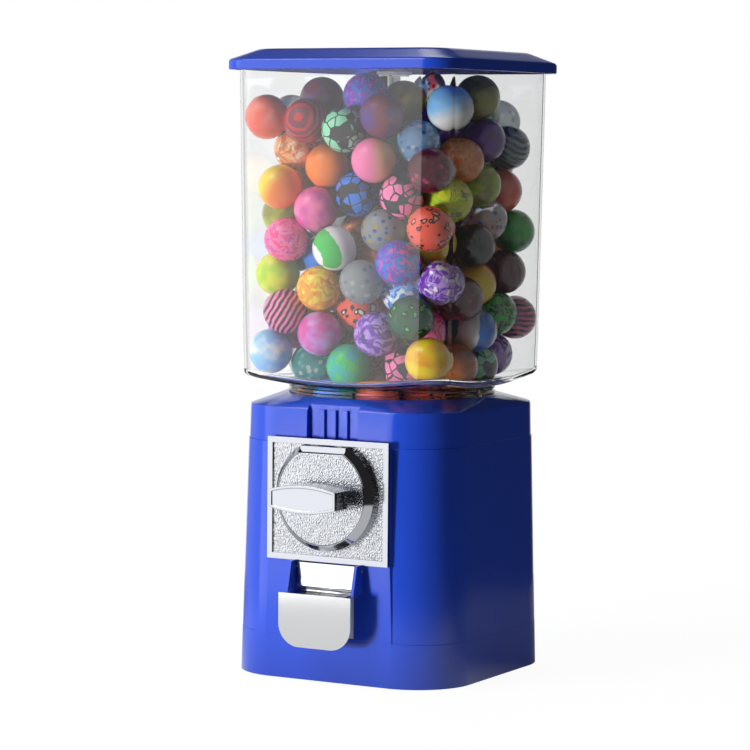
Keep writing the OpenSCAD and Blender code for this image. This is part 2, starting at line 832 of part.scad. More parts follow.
// The lowest of some random places that lie within a reach of a spot
function lowest_near(there, spot, reach, room, seed) =
    let (shift = rands(-reach, reach, 2 * drop_tries, seed))
    pick_low([for (k = [0 : drop_tries - 1])
        let (x = max(-room, min(room, spot[0] + shift[2 * k])),
            y = max(-room, min(room, spot[1] + shift[2 * k + 1])),
            far = max(1, rod_reach / max(norm([x, y]), 0.1)))
        [x * far, y * far, max(ground(x * far, y * far), rest_on(x * far, y * far, there))]]);

// A ball drops at the lowest of some places, then rolls down in shorter and shorter steps.
function roll(there, spot, reach, room, seed) =
    reach < 0.3 ? spot
    : let (next = lowest_near(there, spot, reach, room, seed))
        roll(there, next[2] < spot[2] ? next : spot, reach * roll_step, room, seed + 1);

function drop_ball(there, i) =
    let (level = len(there) == 0 ? globe_floor : there[len(there) - 1][2],
        room = globe_half(max(level, globe_floor)),
        start = lowest_near(there, [0, 0], room * 1.15, room, 1000 + 20 * i))
    concat(there, [roll(there, start, ball_r, room, 1001 + 20 * i)]);

// The first balls lie in a ring in the throat above the wheel.
function throat() =
    let (reach = neck_bore - ball_r - keep_off - 0.1, n = floor(180 / asin((ball_r + 0.1) / reach)))
    [for (i = [0 : n - 1]) let (x = reach * cos(i * 360 / n), y = reach * sin(i * 360 / n))
        [x, y, ground(x, y)]];

function stack(there) = len(there) >= ball_count ? there : stack(drop_ball(there, len(there)));

// Every eighth ball of the stack, starting from the given one
module globe_balls(first) {
    top = globe_top - ball_r - 2;
    stock = stack(throat());
    for (i = [first - 1 : ball_groups : len(stock) - 1])
        if (stock[i][2] < top)
            color(ball_colours[i % len(ball_colours)]) translate(stock[i]) sphere(d = ball_d);
}

// ---------------------------------------------------------------- coin mechanism

module plate_outline(grow) {
    translate([-plate_w / 2 - grow, plate_low - grow]) square([plate_w + 2 * grow, plate_h + 2 * grow]);
}

module mech_faceplate() {
    color(chrome) difference() {
        union() {
            translate([0, -pad_front, 0]) rotate([90, 0, 0])
                linear_extrude(height = plate_t) plate_outline(0);
            translate([0, -pad_front, 0]) rotate([90, 0, 0])
                linear_extrude(height = plate_t + border_t) difference() {
                    plate_outline(0);
                    plate_outline(-border_w);
                }
            translate([0, 0, dial_z]) difference() {
                rotate([90, 0, 0]) {
                    translate([0, 0, pad_front]) cylinder(h = plate_t + ring_h - ring_slope, r = ring_d / 2);
                    translate([0, 0, -ring_front - ring_slope])
                        cylinder(h = ring_slope, r1 = ring_d / 2, r2 = dial_r + 0.6);
                }
                translate([-notch_w / 2, ring_front - past, 0.6 * dial_r])
                    cube([notch_w, ring_h + past, ring_d]);
            }
            for (x = [-1, 1], z = [plate_screw_low, plate_screw_top])
                translate([x * plate_screw_x, 0, z])
                    rod_y(-pad_front - 0.1, -pad_front + plate_boss_h - 0.2, plate_boss_r);
        }
        translate([0, 0, dial_z]) rod_y(ring_front - past, -pad_front + past, dial_r + 0.25);
        for (x = [-1, 1], z = [plate_screw_low, plate_screw_top])
            translate([x * plate_screw_x, 0, z])
                rod_y(-pad_front - 0.6, -pad_front + plate_boss_h + past, screw_r + run);
    }
}

// Bar across the notch: the coin goes in behind it.
module coin_slot_bar() {
    front = dial_front + disc_t + 0.2;
    color(chrome) translate([-notch_w / 2, front, dial_z + dial_flat + 0.5])
        cube([notch_w, carrier_back - slot_t - 0.4 - front, 3.6]);
}

// Case behind the face plate: its front wall backs the coin, its rear wall carries the shaft.
module mech_housing() {
    front = -pad_front + 0.1;
    deep = mech_back - front;
    inside = front + mech_front_wall;
    color(zinc) difference() {
        translate([-mech_w / 2, front, mech_low]) cube([mech_w, deep, mech_top - mech_low]);
        translate([-mech_w / 2 + mech_wall, inside, mech_low + mech_wall])
            cube([mech_w - 2 * mech_wall, deep - mech_front_wall - mech_wall,
                mech_top - mech_low - 2 * mech_wall]);
        translate([0, 0, dial_z]) rod_y(front - past, mech_back + past, shaft_d / 2 + run);
        // Window where the coin falls back, and its way out below
        translate([-coin_d / 2 - 1, front - past, mech_low - past])
            cube([coin_d + 2, mech_front_wall + 2 * past, mech_wall + coin_d - 4]);
        translate([-coin_d / 2 - 1, front - past, mech_low - past])
            cube([coin_d + 2, deep - mech_wall + past, mech_wall + 2 * past]);
    }
}

module mech_screws() {
    color(steel) for (x = [-1, 1], z = [plate_screw_low, plate_screw_top])
        translate([x * plate_screw_x, 0, z]) {
            inside = -body_half(z + head_r) + wall + run;
            rod_y(-pad_front - 0.4, inside, screw_r);
            rod_y(inside - 0.01, inside + head_h, head_r);
        }
}

module dial_disc() {
    color(chrome) difference() {
        translate([0, 0, dial_z]) rod_y(dial_front, dial_front + disc_t, dial_r);
        translate([-dial_r, dial_front - past, dial_z + dial_flat]) cube([dial_d, disc_t + 2 * past, dial_r]);
        translate([0, 0, dial_z]) rod_y(dial_front - past, dial_front + disc_t + past, shaft_d / 2 + run);
    }
}

module coin_carrier() {
    from = dial_front + disc_t;
    to = carrier_back;
    rim_from = to - slot_t - 0.2;
    coin_z = dial_z + dial_flat - coin_d * 0.42;
    color(zinc) difference() {
        // Its front clears the bar, and its rim at the back holds the coin
        translate([0, 0, dial_z]) {
            rod_y(from, rim_from, dial_flat - run / 2);
            rod_y(rim_from - 0.01, to, dial_r - 0.2);
        }
        translate([-dial_r, from - past, dial_z + dial_flat]) cube([dial_d, to - from + 2 * past, dial_r]);
        translate([0, 0, coin_z]) rod_y(to - slot_t, to + past, coin_d / 2);
        translate([-coin_d / 2, to - slot_t, coin_z]) cube([coin_d, slot_t + past, dial_r]);
        translate([0, 0, dial_z]) rod_y(from - past, to + past, shaft_d / 2 + run);
    }
}

// Long sides are arcs, ends are square.
module handle_outline(grow = 0) {
    rise = (handle_mid - handle_end) / 2;
    arc_r = (pow(handle_l / 2, 2) + pow(rise, 2)) / (2 * rise);
    intersection() {
        translate([0, handle_mid / 2 - arc_r]) circle(arc_r + grow, $fn = 360);
        translate([0, arc_r - handle_mid / 2]) circle(arc_r + grow, $fn = 360);
        square([handle_l + 2 * grow, 2 * handle_mid], center = true);
    }
}

module handle() {
    color(chrome) translate([0, 0, dial_z]) rotate([90, 0, 0]) {
        difference() {
            translate([0, 0, -handle_back]) linear_extrude(height = handle_deep) handle_outline();
            translate([0, 0, -handle_front - inset_deep])
                linear_extrude(height = inset_deep + past) handle_outline(-inset_edge);
        }
        translate([0, 0, -dial_front])
            linear_extrude(height = handle_off + 0.1) scale(stem_share) handle_outline();
    }
}

module crank_shaft() {
    color(steel) translate([0, 0, dial_z]) difference() {
        rod_y(dial_front + 0.05, shaft_back, shaft_d / 2);
        translate([0, 0, 0]) difference() {
            rod_y(shaft_back - 1.4, shaft_back - 0.5, shaft_d);
            rod_y(shaft_back - 3, shaft_back, shaft_d / 2 - 1);
        }
    }
}

module ratchet_wheel() {
    step = 360 / ratchet_teeth;
    deep = 2.6;
    points = [for (i = [0 : ratchet_teeth - 1], p = [[0, ratchet_r], [step * 0.12, ratchet_r - deep]])
        p[1] * [cos(i * step + p[0]), sin(i * step + p[0])]];
    color(steel) translate([0, ratchet_back, dial_z]) rotate([90, 0, 0]) difference() {
        linear_extrude(height = ratchet_t) polygon(points);
        translate([0, 0, -past]) cylinder(h = ratchet_t + 2 * past, r = shaft_d / 2 + run);
    }
}

module drive_gear() {
    color(brass) translate([0, pinion_mid + gear_face / 2, dial_z]) rotate([90, 0, 0]) difference() {
        linear_extrude(height = gear_face) rotate(180) pinion_outline();
        translate([0, 0, -past]) cylinder(h = gear_face + 2 * past, r = shaft_d / 2 + run);
    }
}

module shaft_clip() {
    color(steel) translate([0, 0, dial_z]) difference() {
        rod_y(shaft_back - 1.35, shaft_back - 0.55, shaft_d / 2 + 1.6);
        rod_y(shaft_back - 3, shaft_back, shaft_d / 2 - 1 + run);
        translate([-shaft_d / 3, shaft_back - 3, 0]) cube([shaft_d / 1.5, 3, shaft_d]);
    }
}

// Pawl drawn lifted, just clear of the ratchet's teeth.
module ratchet_pawl() {
    color(steel) translate([pawl_x, ratchet_back, pawl_z]) rotate([90, 0, 0]) difference() {
        linear_extrude(height = ratchet_t) {
            circle(3.4);
            polygon([[-2, -3.2], [-pawl_l, -9.2], [-pawl_l, -6.3], [0, 3.2]]);
        }
        translate([0, 0, -past]) cylinder(h = ratchet_t + 2 * past, r = pawl_pin_r + run);
    }
}

module pawl_pin() {
    color(steel) translate([pawl_x, 0, pawl_z])
        rod_y(-pad_front + mech_front_wall + 0.1, mech_back - mech_wall, pawl_pin_r);
}

module pawl_spring() {
    wire = 0.28;
    turns = 3;
    color(steel) translate([pawl_x, ratchet_back - ratchet_t - 0.1 - wire, pawl_z]) rotate([90, 0, 0])
        for (i = [0 : turns - 1]) translate([0, 0, i * 2.05 * wire])
            rotate_extrude() translate([pawl_pin_r + wire + 0.15, 0]) circle(wire, $fn = 16);
}

// ---------------------------------------------------------------- door

module door_hinge_pin() {
    color(steel) translate([0, hinge_y, hinge_z]) rod_x(2 * ear_x + ear_t + 1, pin_d / 2);
}

// Section of the door from its upper edge down to the ledge, as a bent sheet.
module door_section() {
    t = sheet_t;
    bend_z = tongue_top + bend_r;
    steps = 10;
    arc = [for (i = [0 : steps]) let (a = 90 * i / steps)
        [door_y - t - bend_r + bend_r * cos(a), bend_z - bend_r * sin(a)]];
    arc_back = [for (i = [steps : -1 : 0]) let (a = 90 * i / steps)
        [door_y - t - bend_r + (bend_r + t) * cos(a), bend_z - (bend_r + t) * sin(a)]];
    out = -pad_front - 1 - ledge_out;
    polygon(concat([[door_y - t, door_top]], arc, [[out, tongue_top - 0.4], [out, tongue_top - 0.4 - t]],
        arc_back, [[door_y, door_top]]));
}

module chute_door() {
    out = -pad_front - 1 - ledge_out;
    low = tongue_top - tongue_h;
    color(steel) difference() {
        union() {
            rotate([90, 0, 90]) linear_extrude(height = door_w, center = true) door_section();
            translate([0, hinge_y, hinge_z]) rod_x(door_w, knuckle_r);
            translate([0, out + sheet_t, 0]) rotate([90, 0, 0]) linear_extrude(height = sheet_t) {
                translate([-tongue_w / 2, low + tongue_r]) square([tongue_w, tongue_h - tongue_r - 0.4]);
                translate([-tongue_w / 2 + tongue_r, low]) square([tongue_w - 2 * tongue_r, tongue_h - 0.4]);
                for (x = [-1, 1]) translate([x * (tongue_w / 2 - tongue_r), low + tongue_r]) circle(tongue_r);
            }
        }
        translate([0, hinge_y, hinge_z]) rod_x(door_w + 2, pin_d / 2 + run);
    }
}

base_shell();
rubber_feet();
main_housing();
top_cap();
base_screws();
cap_screws();
coin_box();
centre_rod();
rod_nut();
wheel_housing();
wheel_bush();
hub_nut();
ball_guard();
product_chute();
globe_gasket();
globe();
mech_faceplate();
coin_slot_bar();
mech_housing();
mech_screws();
ratchet_pawl();
pawl_pin();
pawl_spring();
door_hinge_pin();
dial_disc();
coin_carrier();
handle();
crank_shaft();
ratchet_wheel();
drive_gear();
shaft_clip();
ball_wheel();
wheel_balls();
chute_door();
lid();
lock_body();
lock_nut();
lock_cylinder();
globe_balls(1);  // globe_balls_1
globe_balls(2);  // globe_balls_2
globe_balls(3);  // globe_balls_3
globe_balls(4);  // globe_balls_4
globe_balls(5);  // globe_balls_5
globe_balls(6);  // globe_balls_6
globe_balls(7);  // globe_balls_7
globe_balls(8);  // globe_balls_8
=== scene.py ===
"""Dresses a packed gumball machine: shells, castings, clear globe, toy balls, studio."""

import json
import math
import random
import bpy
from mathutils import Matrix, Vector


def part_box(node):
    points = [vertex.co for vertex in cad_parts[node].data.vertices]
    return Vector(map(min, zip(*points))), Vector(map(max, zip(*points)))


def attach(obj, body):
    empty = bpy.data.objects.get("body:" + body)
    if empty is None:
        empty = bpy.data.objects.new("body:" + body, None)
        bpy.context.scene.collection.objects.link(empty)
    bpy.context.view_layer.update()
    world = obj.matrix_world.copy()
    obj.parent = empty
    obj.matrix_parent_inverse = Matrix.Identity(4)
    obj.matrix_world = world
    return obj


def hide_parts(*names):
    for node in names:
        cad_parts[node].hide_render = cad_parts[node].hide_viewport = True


bl_info = {
    "name": "Gumball Machine",
    "version": (1, 0, 0),
    "blender": (4, 5, 0),
    "location": "View3D > Sidebar > Gumball",
    "description": "Shells, coin mechanism, globe and toy balls of a countertop gumball machine",
    "category": "Object",
}

import bmesh
import bpy
import numpy as np
from mathutils import Matrix, Vector

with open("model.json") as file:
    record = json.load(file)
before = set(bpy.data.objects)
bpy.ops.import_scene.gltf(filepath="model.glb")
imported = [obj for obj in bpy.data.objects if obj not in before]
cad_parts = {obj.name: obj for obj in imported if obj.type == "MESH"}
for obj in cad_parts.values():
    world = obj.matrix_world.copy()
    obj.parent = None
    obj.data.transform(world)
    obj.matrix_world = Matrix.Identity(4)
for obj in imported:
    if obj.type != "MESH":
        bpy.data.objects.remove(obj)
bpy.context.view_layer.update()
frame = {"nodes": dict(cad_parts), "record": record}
NODES = frame["nodes"]
MM = 0.001  # a millimetre in metres
SAME_POINT = 0.003 * MM  # points of a CAD mesh that are nearer than this are one
VIEW_TURN = 29.294  # the viewer stands this many degrees to the right of the front


def edge_of(node, axis, side):
    """A side of a CAD node's box, in millimetres."""
    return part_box(node)[side][axis] / MM


# ---------------------------------------------------------------- nodes and patterns


def linear(code):
    """An sRGB hex colour as linear RGBA."""
    parts = [int(code[i : i + 2], 16) / 255 for i in (1, 3, 5)]
    return tuple(c / 12.92 if c <= 0.04045 else ((c + 0.055) / 1.055) ** 2.4 for c in parts) + (1.0,)


def add(tree, kind, inputs=None, **settings):
    """Adds a node. inputs: a socket's name or index to its value, or to the socket or node that feeds it."""
    node = tree.nodes.new(kind)
    for key, value in settings.items():
        setattr(node, key, value)
    for key, value in (inputs or {}).items():
        if isinstance(value, bpy.types.Node):
            value = value.outputs[0]
        if isinstance(value, bpy.types.NodeSocket):
            tree.links.new(value, node.inputs[key])
        else:
            node.inputs[key].default_value = value
    return node


def blank(name):
    """A new material and its empty tree."""
    made = bpy.data.materials.new(name)
    made.use_nodes = True
    made.node_tree.nodes.clear()
    return made, made.node_tree


def surfaced(made, shader):
    """The material, with a shader as its surface."""
    add(made.node_tree, "ShaderNodeOutputMaterial", {"Surface": shader})
    return made


def coated(made, looks):
    """The material, with a Principled shader that has these looks."""
    return surfaced(made, add(made.node_tree, "ShaderNodeBsdfPrincipled", looks))


def lumps(tree, size_mm, detail=2.0, stretch=None):
    """Clouds from 0 to 1 that are fixed to the piece, about size_mm across."""
    at = add(tree, "ShaderNodeTexCoord").outputs["Object"]
    if stretch:
        at = add(tree, "ShaderNodeMapping", {"Vector": at, "Scale": stretch})
    return add(tree, "ShaderNodeTexNoise", {"Vector": at, "Scale": 1000.0 / size_mm, "Detail": detail})


def haze(tree, low, high, *clouds):
    """A roughness that drifts between two values in clouds, as lumps makes them."""
    return add(tree, "ShaderNodeMapRange", {"Value": lumps(tree, *clouds), "To Min": low, "To Max": high})


def tones(tree, pattern, low, high, start=0.0, end=1.0):
    """A pattern's colour: low below start, high above end, with a soft edge between."""
    share = add(tree, "ShaderNodeMapRange", {"Value": pattern, "From Min": start, "From Max": end})
    return add(tree, "ShaderNodeMix", {0: share, 6: low, 7: high}, data_type="RGBA").outputs[2]


def relief(tree, height, depth_mm, edge_mm=0.0):
    """A bump of a real depth, over edges eased by edge_mm."""
    bump = {"Height": height, "Strength": 1.0, "Distance": depth_mm * MM}
    if edge_mm:
        bump["Normal"] = add(tree, "ShaderNodeBevel", {"Radius": edge_mm * MM}, samples=6)
    return add(tree, "ShaderNodeBump", bump)


# ---------------------------------------------------------------- finishes


def blue_abs(shell):
    """Injection-moulded ABS from a polished tool: an even gloss with faint waviness and hand haze."""
    made, tree = blank("moulded_blue_abs")
    clouded = [c * 0.9 for c in shell]
    return coated(
        made,
        {
            "IOR": 1.53,
            "Base Color": tones(tree, lumps(tree, 42.0, 3.0), (*shell, 1.0), (*clouded, 1.0)),
            "Roughness": haze(tree, 0.13, 0.2, 18.0, 4.0),
            "Normal": relief(tree, lumps(tree, 30.0, 1.0), 0.03, 0.5),
        },
    )


def clear_polycarbonate():
    """Clear moulded polycarbonate: glossy, a trace of grey; shadow and diffuse rays pass straight through."""
    made, tree = blank("clear_polycarbonate")
    clear = add(
        tree,
        "ShaderNodeBsdfPrincipled",
        {
            "IOR": 1.585,
            "Roughness": 0.02,
            "Transmission Weight": 1.0,
            "Base Color": linear("#FDFEFE"),
            "Normal": relief(tree, lumps(tree, 60.0, 1.0), 0.02),
        },
    )
    path = add(tree, "ShaderNodeLightPath").outputs
    rays = {0: path["Is Shadow Ray"], 1: path["Is Diffuse Ray"]}
    lit = add(tree, "ShaderNodeMath", rays, operation="MAXIMUM")
    passing = add(tree, "ShaderNodeBsdfTransparent", {"Color": linear("#FBFCFC")})
    return surfaced(made, add(tree, "ShaderNodeMixShader", {0: lit, 1: clear, 2: passing}))


def chrome_plated_zinc():
    """Chrome plate on a zinc die casting: bright, slightly soft, with handling haze."""
    made, tree = blank("chrome_plated_zinc")
    return coated(
        made,
        {
            "Metallic": 1.0,
            "Base Color": linear("#ADAFB5"),
            "Roughness": haze(tree, 0.07, 0.14, 9.0, 4.0),
            "Normal": relief(tree, lumps(tree, 2.4), 0.006, 0.3),
        },
    )


def pebbled_chrome_plate():
    """The same plate over a pebbled die face: slanting lumps, 0.7 mm wide and 1.2 mm long, 0.3 mm deep."""
    made, tree = blank("pebbled_chrome_plate")
    at = add(tree, "ShaderNodeTexCoord").outputs["Object"]
    per_metre, slant = (1500.0, 1500.0, 850.0), (0.0, 0.7, 0.0)
    slanting = add(tree, "ShaderNodeMapping", {"Vector": at, "Rotation": slant, "Scale": per_metre})
    pebbles = add(tree, "ShaderNodeTexVoronoi", {"Vector": slanting, "Scale": 1.0}, feature="SMOOTH_F1")
    return coated(
        made,
        {
            "Metallic": 1.0,
            "Base Color": linear("#B7B9BE"),
            "Roughness": 0.12,
            "Normal": relief(tree, pebbles.outputs["Distance"], 0.3),
        },
    )


def polished_stainless_sheet():
    """Stainless sheet, bright annealed, with a fine straight grain."""
    made, tree = blank("polished_stainless_sheet")
    streaks = (2.0, 3.0, (1.0, 14.0, 0.25))
    return coated(
        made,
        {
            "Metallic": 1.0,
            "Base Color": linear("#D2D3D4"),
            "Roughness": haze(tree, 0.08, 0.15, *streaks),
            "Normal": relief(tree, lumps(tree, *streaks), 0.003, 0.25),
        },
    )


def zinc_die_casting():
    """Bare zinc die casting: dull blue-grey, mottled."""
    made, tree = blank("zinc_die_casting")
    return coated(
        made,
        {
            "Metallic": 1.0,
            "Base Color": tones(tree, lumps(tree, 6.0, 4.0), linear("#9EA1A6"), linear("#B9BBBF")),
            "Roughness": haze(tree, 0.38, 0.55, 3.0, 3.0),
            "Normal": relief(tree, lumps(tree, 0.9, 3.0), 0.03, 0.3),
        },
    )


def galvanised_sheet():
    """Hot-dip galvanised sheet: spangles about 6 mm across."""
    made, tree = blank("galvanised_sheet")
    at = add(tree, "ShaderNodeTexCoord").outputs["Object"]
    spangles = add(tree, "ShaderNodeTexVoronoi", {"Vector": at, "Scale": 170.0}).outputs["Color"]
    tone = add(tree, "ShaderNodeSeparateColor", {0: spangles}).outputs[0]
    return coated(
        made,
        {
            "Metallic": 1.0,
            "Base Color": tones(tree, tone, linear("#A9ADB0"), linear("#C6C9CB")),
            "Roughness": add(tree, "ShaderNodeMapRange", {"Value": tone, "To Min": 0.32, "To Max": 0.5}),
            "Normal": relief(tree, tone, 0.01, 0.3),
        },
    )


def zinc_plated_steel():
    """Bright zinc plate on steel: the screws, nuts and rod, with a faint satin."""
    made, tree = blank("zinc_plated_steel")
    return coated(
        made,
        {
            "Metallic": 1.0,
            "Base Color": linear("#C3C5C6"),
            "Roughness": haze(tree, 0.24, 0.36, 4.0, 3.0),
            "Normal": relief(tree, lumps(tree, 0.7), 0.01, 0.2),
        },
    )


def turned_brass():
    """Free-cutting brass, turned: fine marks round the axis."""
    made, tree = blank("turned_brass")
    return coated(
        made,
        {
            "Metallic": 1.0,
            "Base Color": linear("#D9B45F"),
            "Roughness": haze(tree, 0.22, 0.36, 2.0, 3.0, (1.0, 1.0, 9.0)),
            "Normal": relief(tree, lumps(tree, 1.2), 0.006, 0.2),
        },
    )


def moulded_rubber():
    """Moulded black rubber: matt, lightly textured."""
    made, tree = blank("moulded_rubber")
    return coated(
        made,
        {
            "IOR": 1.52,
            "Base Color": linear("#1B1B1D"),
            "Roughness": haze(tree, 0.62, 0.8, 5.0, 3.0),
            "Normal": relief(tree, lumps(tree, 0.6), 0.03, 0.3),
        },
    )


def white_acetal_moulding():
    """White acetal and polystyrene mouldings inside: milky, half matt."""
    made, tree = blank("white_acetal_moulding")
    return coated(
        made,
        {
            "IOR": 1.48,
            "Base Color": tones(tree, lumps(tree, 25.0, 3.0), linear("#EDEDE8"), linear("#E2E2DC")),
            "Roughness": haze(tree, 0.4, 0.52, 9.0, 3.0),
            "Normal": relief(tree, lumps(tree, 1.5), 0.01, 0.4),
        },
    )


# ---------------------------------------------------------------- toy balls

SOFT_RUBBER = {"Subsurface Weight": 0.3, "Subsurface Scale": 0.004}


def ball_blank(name):
    """A ball's material and tree, its three tints, the point on a ball of radius 1, and that point shifted.

    A pattern on either point counts in radii of 14 mm, so a scale of 2 gives lumps of 7 mm."""
    made, tree = blank(name)
    tints = [add(tree, "ShaderNodeAttribute", attribute_name=n) for n in ("tint_a", "tint_b", "tint_c")]
    on_ball = add(tree, "ShaderNodeAttribute", attribute_name="on_ball").outputs["Vector"]
    luck = add(tree, "ShaderNodeAttribute", attribute_name="luck").outputs["Vector"]
    shifted = add(tree, "ShaderNodeVectorMath", {0: on_ball, 1: luck}, operation="ADD")
    return made, tree, tints, on_ball, shifted


def ball_coated(made, colour, shiny=0.16, dull=0.28, **more):
    """Closes a ball's material: its colour, a gloss that drifts, and a fine grit in its skin."""
    tree = made.node_tree
    drift = {"Value": lumps(tree, 6.25), "From Min": 0.3, "From Max": 0.7, "To Min": shiny, "To Max": dull}
    rough, skin = add(tree, "ShaderNodeMapRange", drift), relief(tree, lumps(tree, 1.43), 0.01)
    return coated(made, {"IOR": 1.52, "Base Color": colour, "Roughness": rough, "Normal": skin, **more})


def plain_rubber():
    """One colour, clouded by another."""
    made, tree, (a, b, _), _, shifted = ball_blank("rubber_plain")
    clouds = add(tree, "ShaderNodeTexNoise", {"Vector": shifted, "Scale": 1.3})
    return ball_coated(made, tones(tree, clouds, a, b, 0.42, 0.66), **SOFT_RUBBER)


def marbled_rubber():
    """Three colours folded together."""
    made, tree, (a, b, c), _, shifted = ball_blank("rubber_marbled")
    folds = {"Vector": shifted, "Scale": 1.5, "Detail": 3.0, "Distortion": 2.2}
    two = tones(tree, add(tree, "ShaderNodeTexNoise", folds), a, b, 0.46, 0.52)
    veins = {"Vector": shifted, "Scale": 2.1, "Distortion": 1.4}
    three = tones(tree, add(tree, "ShaderNodeTexNoise", veins), two, c, 0.57, 0.62)
    return ball_coated(made, three, **SOFT_RUBBER)


def two_tone_rubber():
    """Two colours poured one on the other."""
    made, tree, (a, b, _), on_ball, shifted = ball_blank("rubber_two_tone")
    height = add(tree, "ShaderNodeSeparateXYZ", {0: on_ball}).outputs[2]
    waves = add(tree, "ShaderNodeTexNoise", {"Vector": shifted, "Scale": 3.0})
    wave = add(tree, "ShaderNodeMapRange", {"Value": waves, "To Min": -0.08, "To Max": 0.08})
    level = add(tree, "ShaderNodeMath", {0: height, 1: wave}, operation="ADD")
    return ball_coated(made, tones(tree, level, a, b, -0.3, 0.3), **SOFT_RUBBER)


def beaded_rubber():
    """Clear rubber with beads of two colours, 4 mm apart."""
    made, tree, (a, b, c), _, shifted = ball_blank("clear_rubber_beaded")
    beads = add(tree, "ShaderNodeTexVoronoi", {"Vector": shifted, "Scale": 3.2}).outputs
    either = add(tree, "ShaderNodeSeparateColor", {0: beads["Color"]})
    bead = tones(tree, either, b, c, 0.48, 0.52)
    colour = tones(tree, beads["Distance"], bead, a, 0.3, 0.38)
    return ball_coated(made, colour, 0.05, 0.12, **{"Transmission Weight": 0.6})


def spotted_rubber():
    """Leopard spots: uneven rings round a middle of another colour."""
    made, tree, (a, b, c), _, shifted = ball_blank("rubber_spotted")
    wobble = add(tree, "ShaderNodeTexNoise", {"Vector": shifted, "Scale": 3.5}).outputs["Color"]
    uneven = {0: wobble, 1: (0.32, 0.32, 0.32), 2: shifted}
    bent = add(tree, "ShaderNodeVectorMath", uneven, operation="MULTIPLY_ADD")
    out = add(tree, "ShaderNodeTexVoronoi", {"Vector": bent, "Scale": 2.5}).outputs["Distance"]
    rings = tones(tree, out, b, a, 0.38, 0.42)
    return ball_coated(made, tones(tree, out, c, rings, 0.22, 0.26))


def striped_rubber():
    """Bent stripes."""
    made, tree, (a, b, _), on_ball, _ = ball_blank("rubber_striped")
    bands = {"Vector": on_ball, "Scale": 1.35, "Distortion": 2.6, "Detail": 1.0, "Detail Scale": 1.2}
    wave = add(tree, "ShaderNodeTexWave", bands).outputs["Fac"]
    return ball_coated(made, tones(tree, wave, a, b, 0.46, 0.56))


def netted_rubber():
    """A net of lines round cells of two colours."""
    made, tree, (a, b, c), _, shifted = ball_blank("rubber_netted")
    cells = {"Vector": shifted, "Scale": 2.1}
    lines = add(tree, "ShaderNodeTexVoronoi", cells, feature="DISTANCE_TO_EDGE").outputs["Distance"]
    each = add(tree, "ShaderNodeTexVoronoi", cells).outputs["Color"]
    cell = tones(tree, add(tree, "ShaderNodeSeparateColor", {0: each}), a, c, 0.6, 0.7)
    return ball_coated(made, tones(tree, lines, b, cell, 0.05, 0.075))


def swirled_rubber():
    """A spiral of two colours with a ragged edge."""
    made, tree, (a, b, _), on_ball, shifted = ball_blank("rubber_swirled")
    spin = add(tree, "ShaderNodeTexGradient", {"Vector": on_ball}, gradient_type="RADIAL").outputs["Fac"]
    rise = add(tree, "ShaderNodeSeparateXYZ", {0: on_ball}).outputs[2]
    turn = add(tree, "ShaderNodeMath", {0: spin, 1: 3.0, 2: rise}, operation="MULTIPLY_ADD")
    arms = add(tree, "ShaderNodeMath", {0: turn, 1: 1.0}, operation="PINGPONG")
    rags = add(tree, "ShaderNodeTexNoise", {"Vector": shifted, "Scale": 4.0})
    rag = add(tree, "ShaderNodeMapRange", {"Value": rags, "To Min": -0.12, "To Max": 0.12})
    ragged = add(tree, "ShaderNodeMath", {0: arms, 1: rag}, operation="ADD")
    return ball_coated(made, tones(tree, ragged, a, b, 0.44, 0.5))


def checked_rubber():
    """Bent checks of 4 mm."""
    made, tree, (a, b, _), on_ball, _ = ball_blank("rubber_checked")
    wobble = add(tree, "ShaderNodeTexNoise", {"Vector": on_ball, "Scale": 1.6}).outputs["Color"]
    bent = add(tree, "ShaderNodeVectorMath", {0: on_ball, 1: wobble}, operation="ADD")
    checks = add(tree, "ShaderNodeTexChecker", {"Vector": bent, "Scale": 3.4}).outputs["Fac"]
    return ball_coated(made, tones(tree, checks, a, b))


# How the stock calls each pattern, and the function that casts it
PATTERNS = {
    "plain": plain_rubber,
    "marble": marbled_rubber,
    "halves": two_tone_rubber,
    "clear": beaded_rubber,
    "spots": spotted_rubber,
    "stripes": striped_rubber,
    "net": netted_rubber,
    "swirl": swirled_rubber,
    "checks": checked_rubber,
}

# Pigments of the cast rubber
PIGMENT = {
    "coral": "#F4604A", "salmon": "#F98A76", "orange": "#FA8426", "apricot": "#F3B07A", "amber": "#F1A72E",
    "yellow": "#FBD92C", "lime": "#B4DA22", "lemon": "#E6EC3C", "olive": "#8D8C34", "moss": "#4A5224",
    "green": "#3CC24C", "forest": "#1D5638", "mint": "#8FDDB4", "teal": "#1FAEA8", "aqua": "#7BD3CF",
    "sky": "#8CC8FA", "blue": "#2A78DC", "purple": "#7A3CC0", "lilac": "#C49CE8", "violet": "#562A80",
    "magenta": "#D84AA6", "pink": "#FA7CB2", "rose": "#F83E8E", "maroon": "#76203A", "red": "#C4262E",
    "brown": "#85502E", "rust": "#C87030", "black": "#141416", "white": "#F2F3F2", "cream": "#F4E7D4",
    "grey": "#C6CCD0", "slate": "#90A3B5",
}

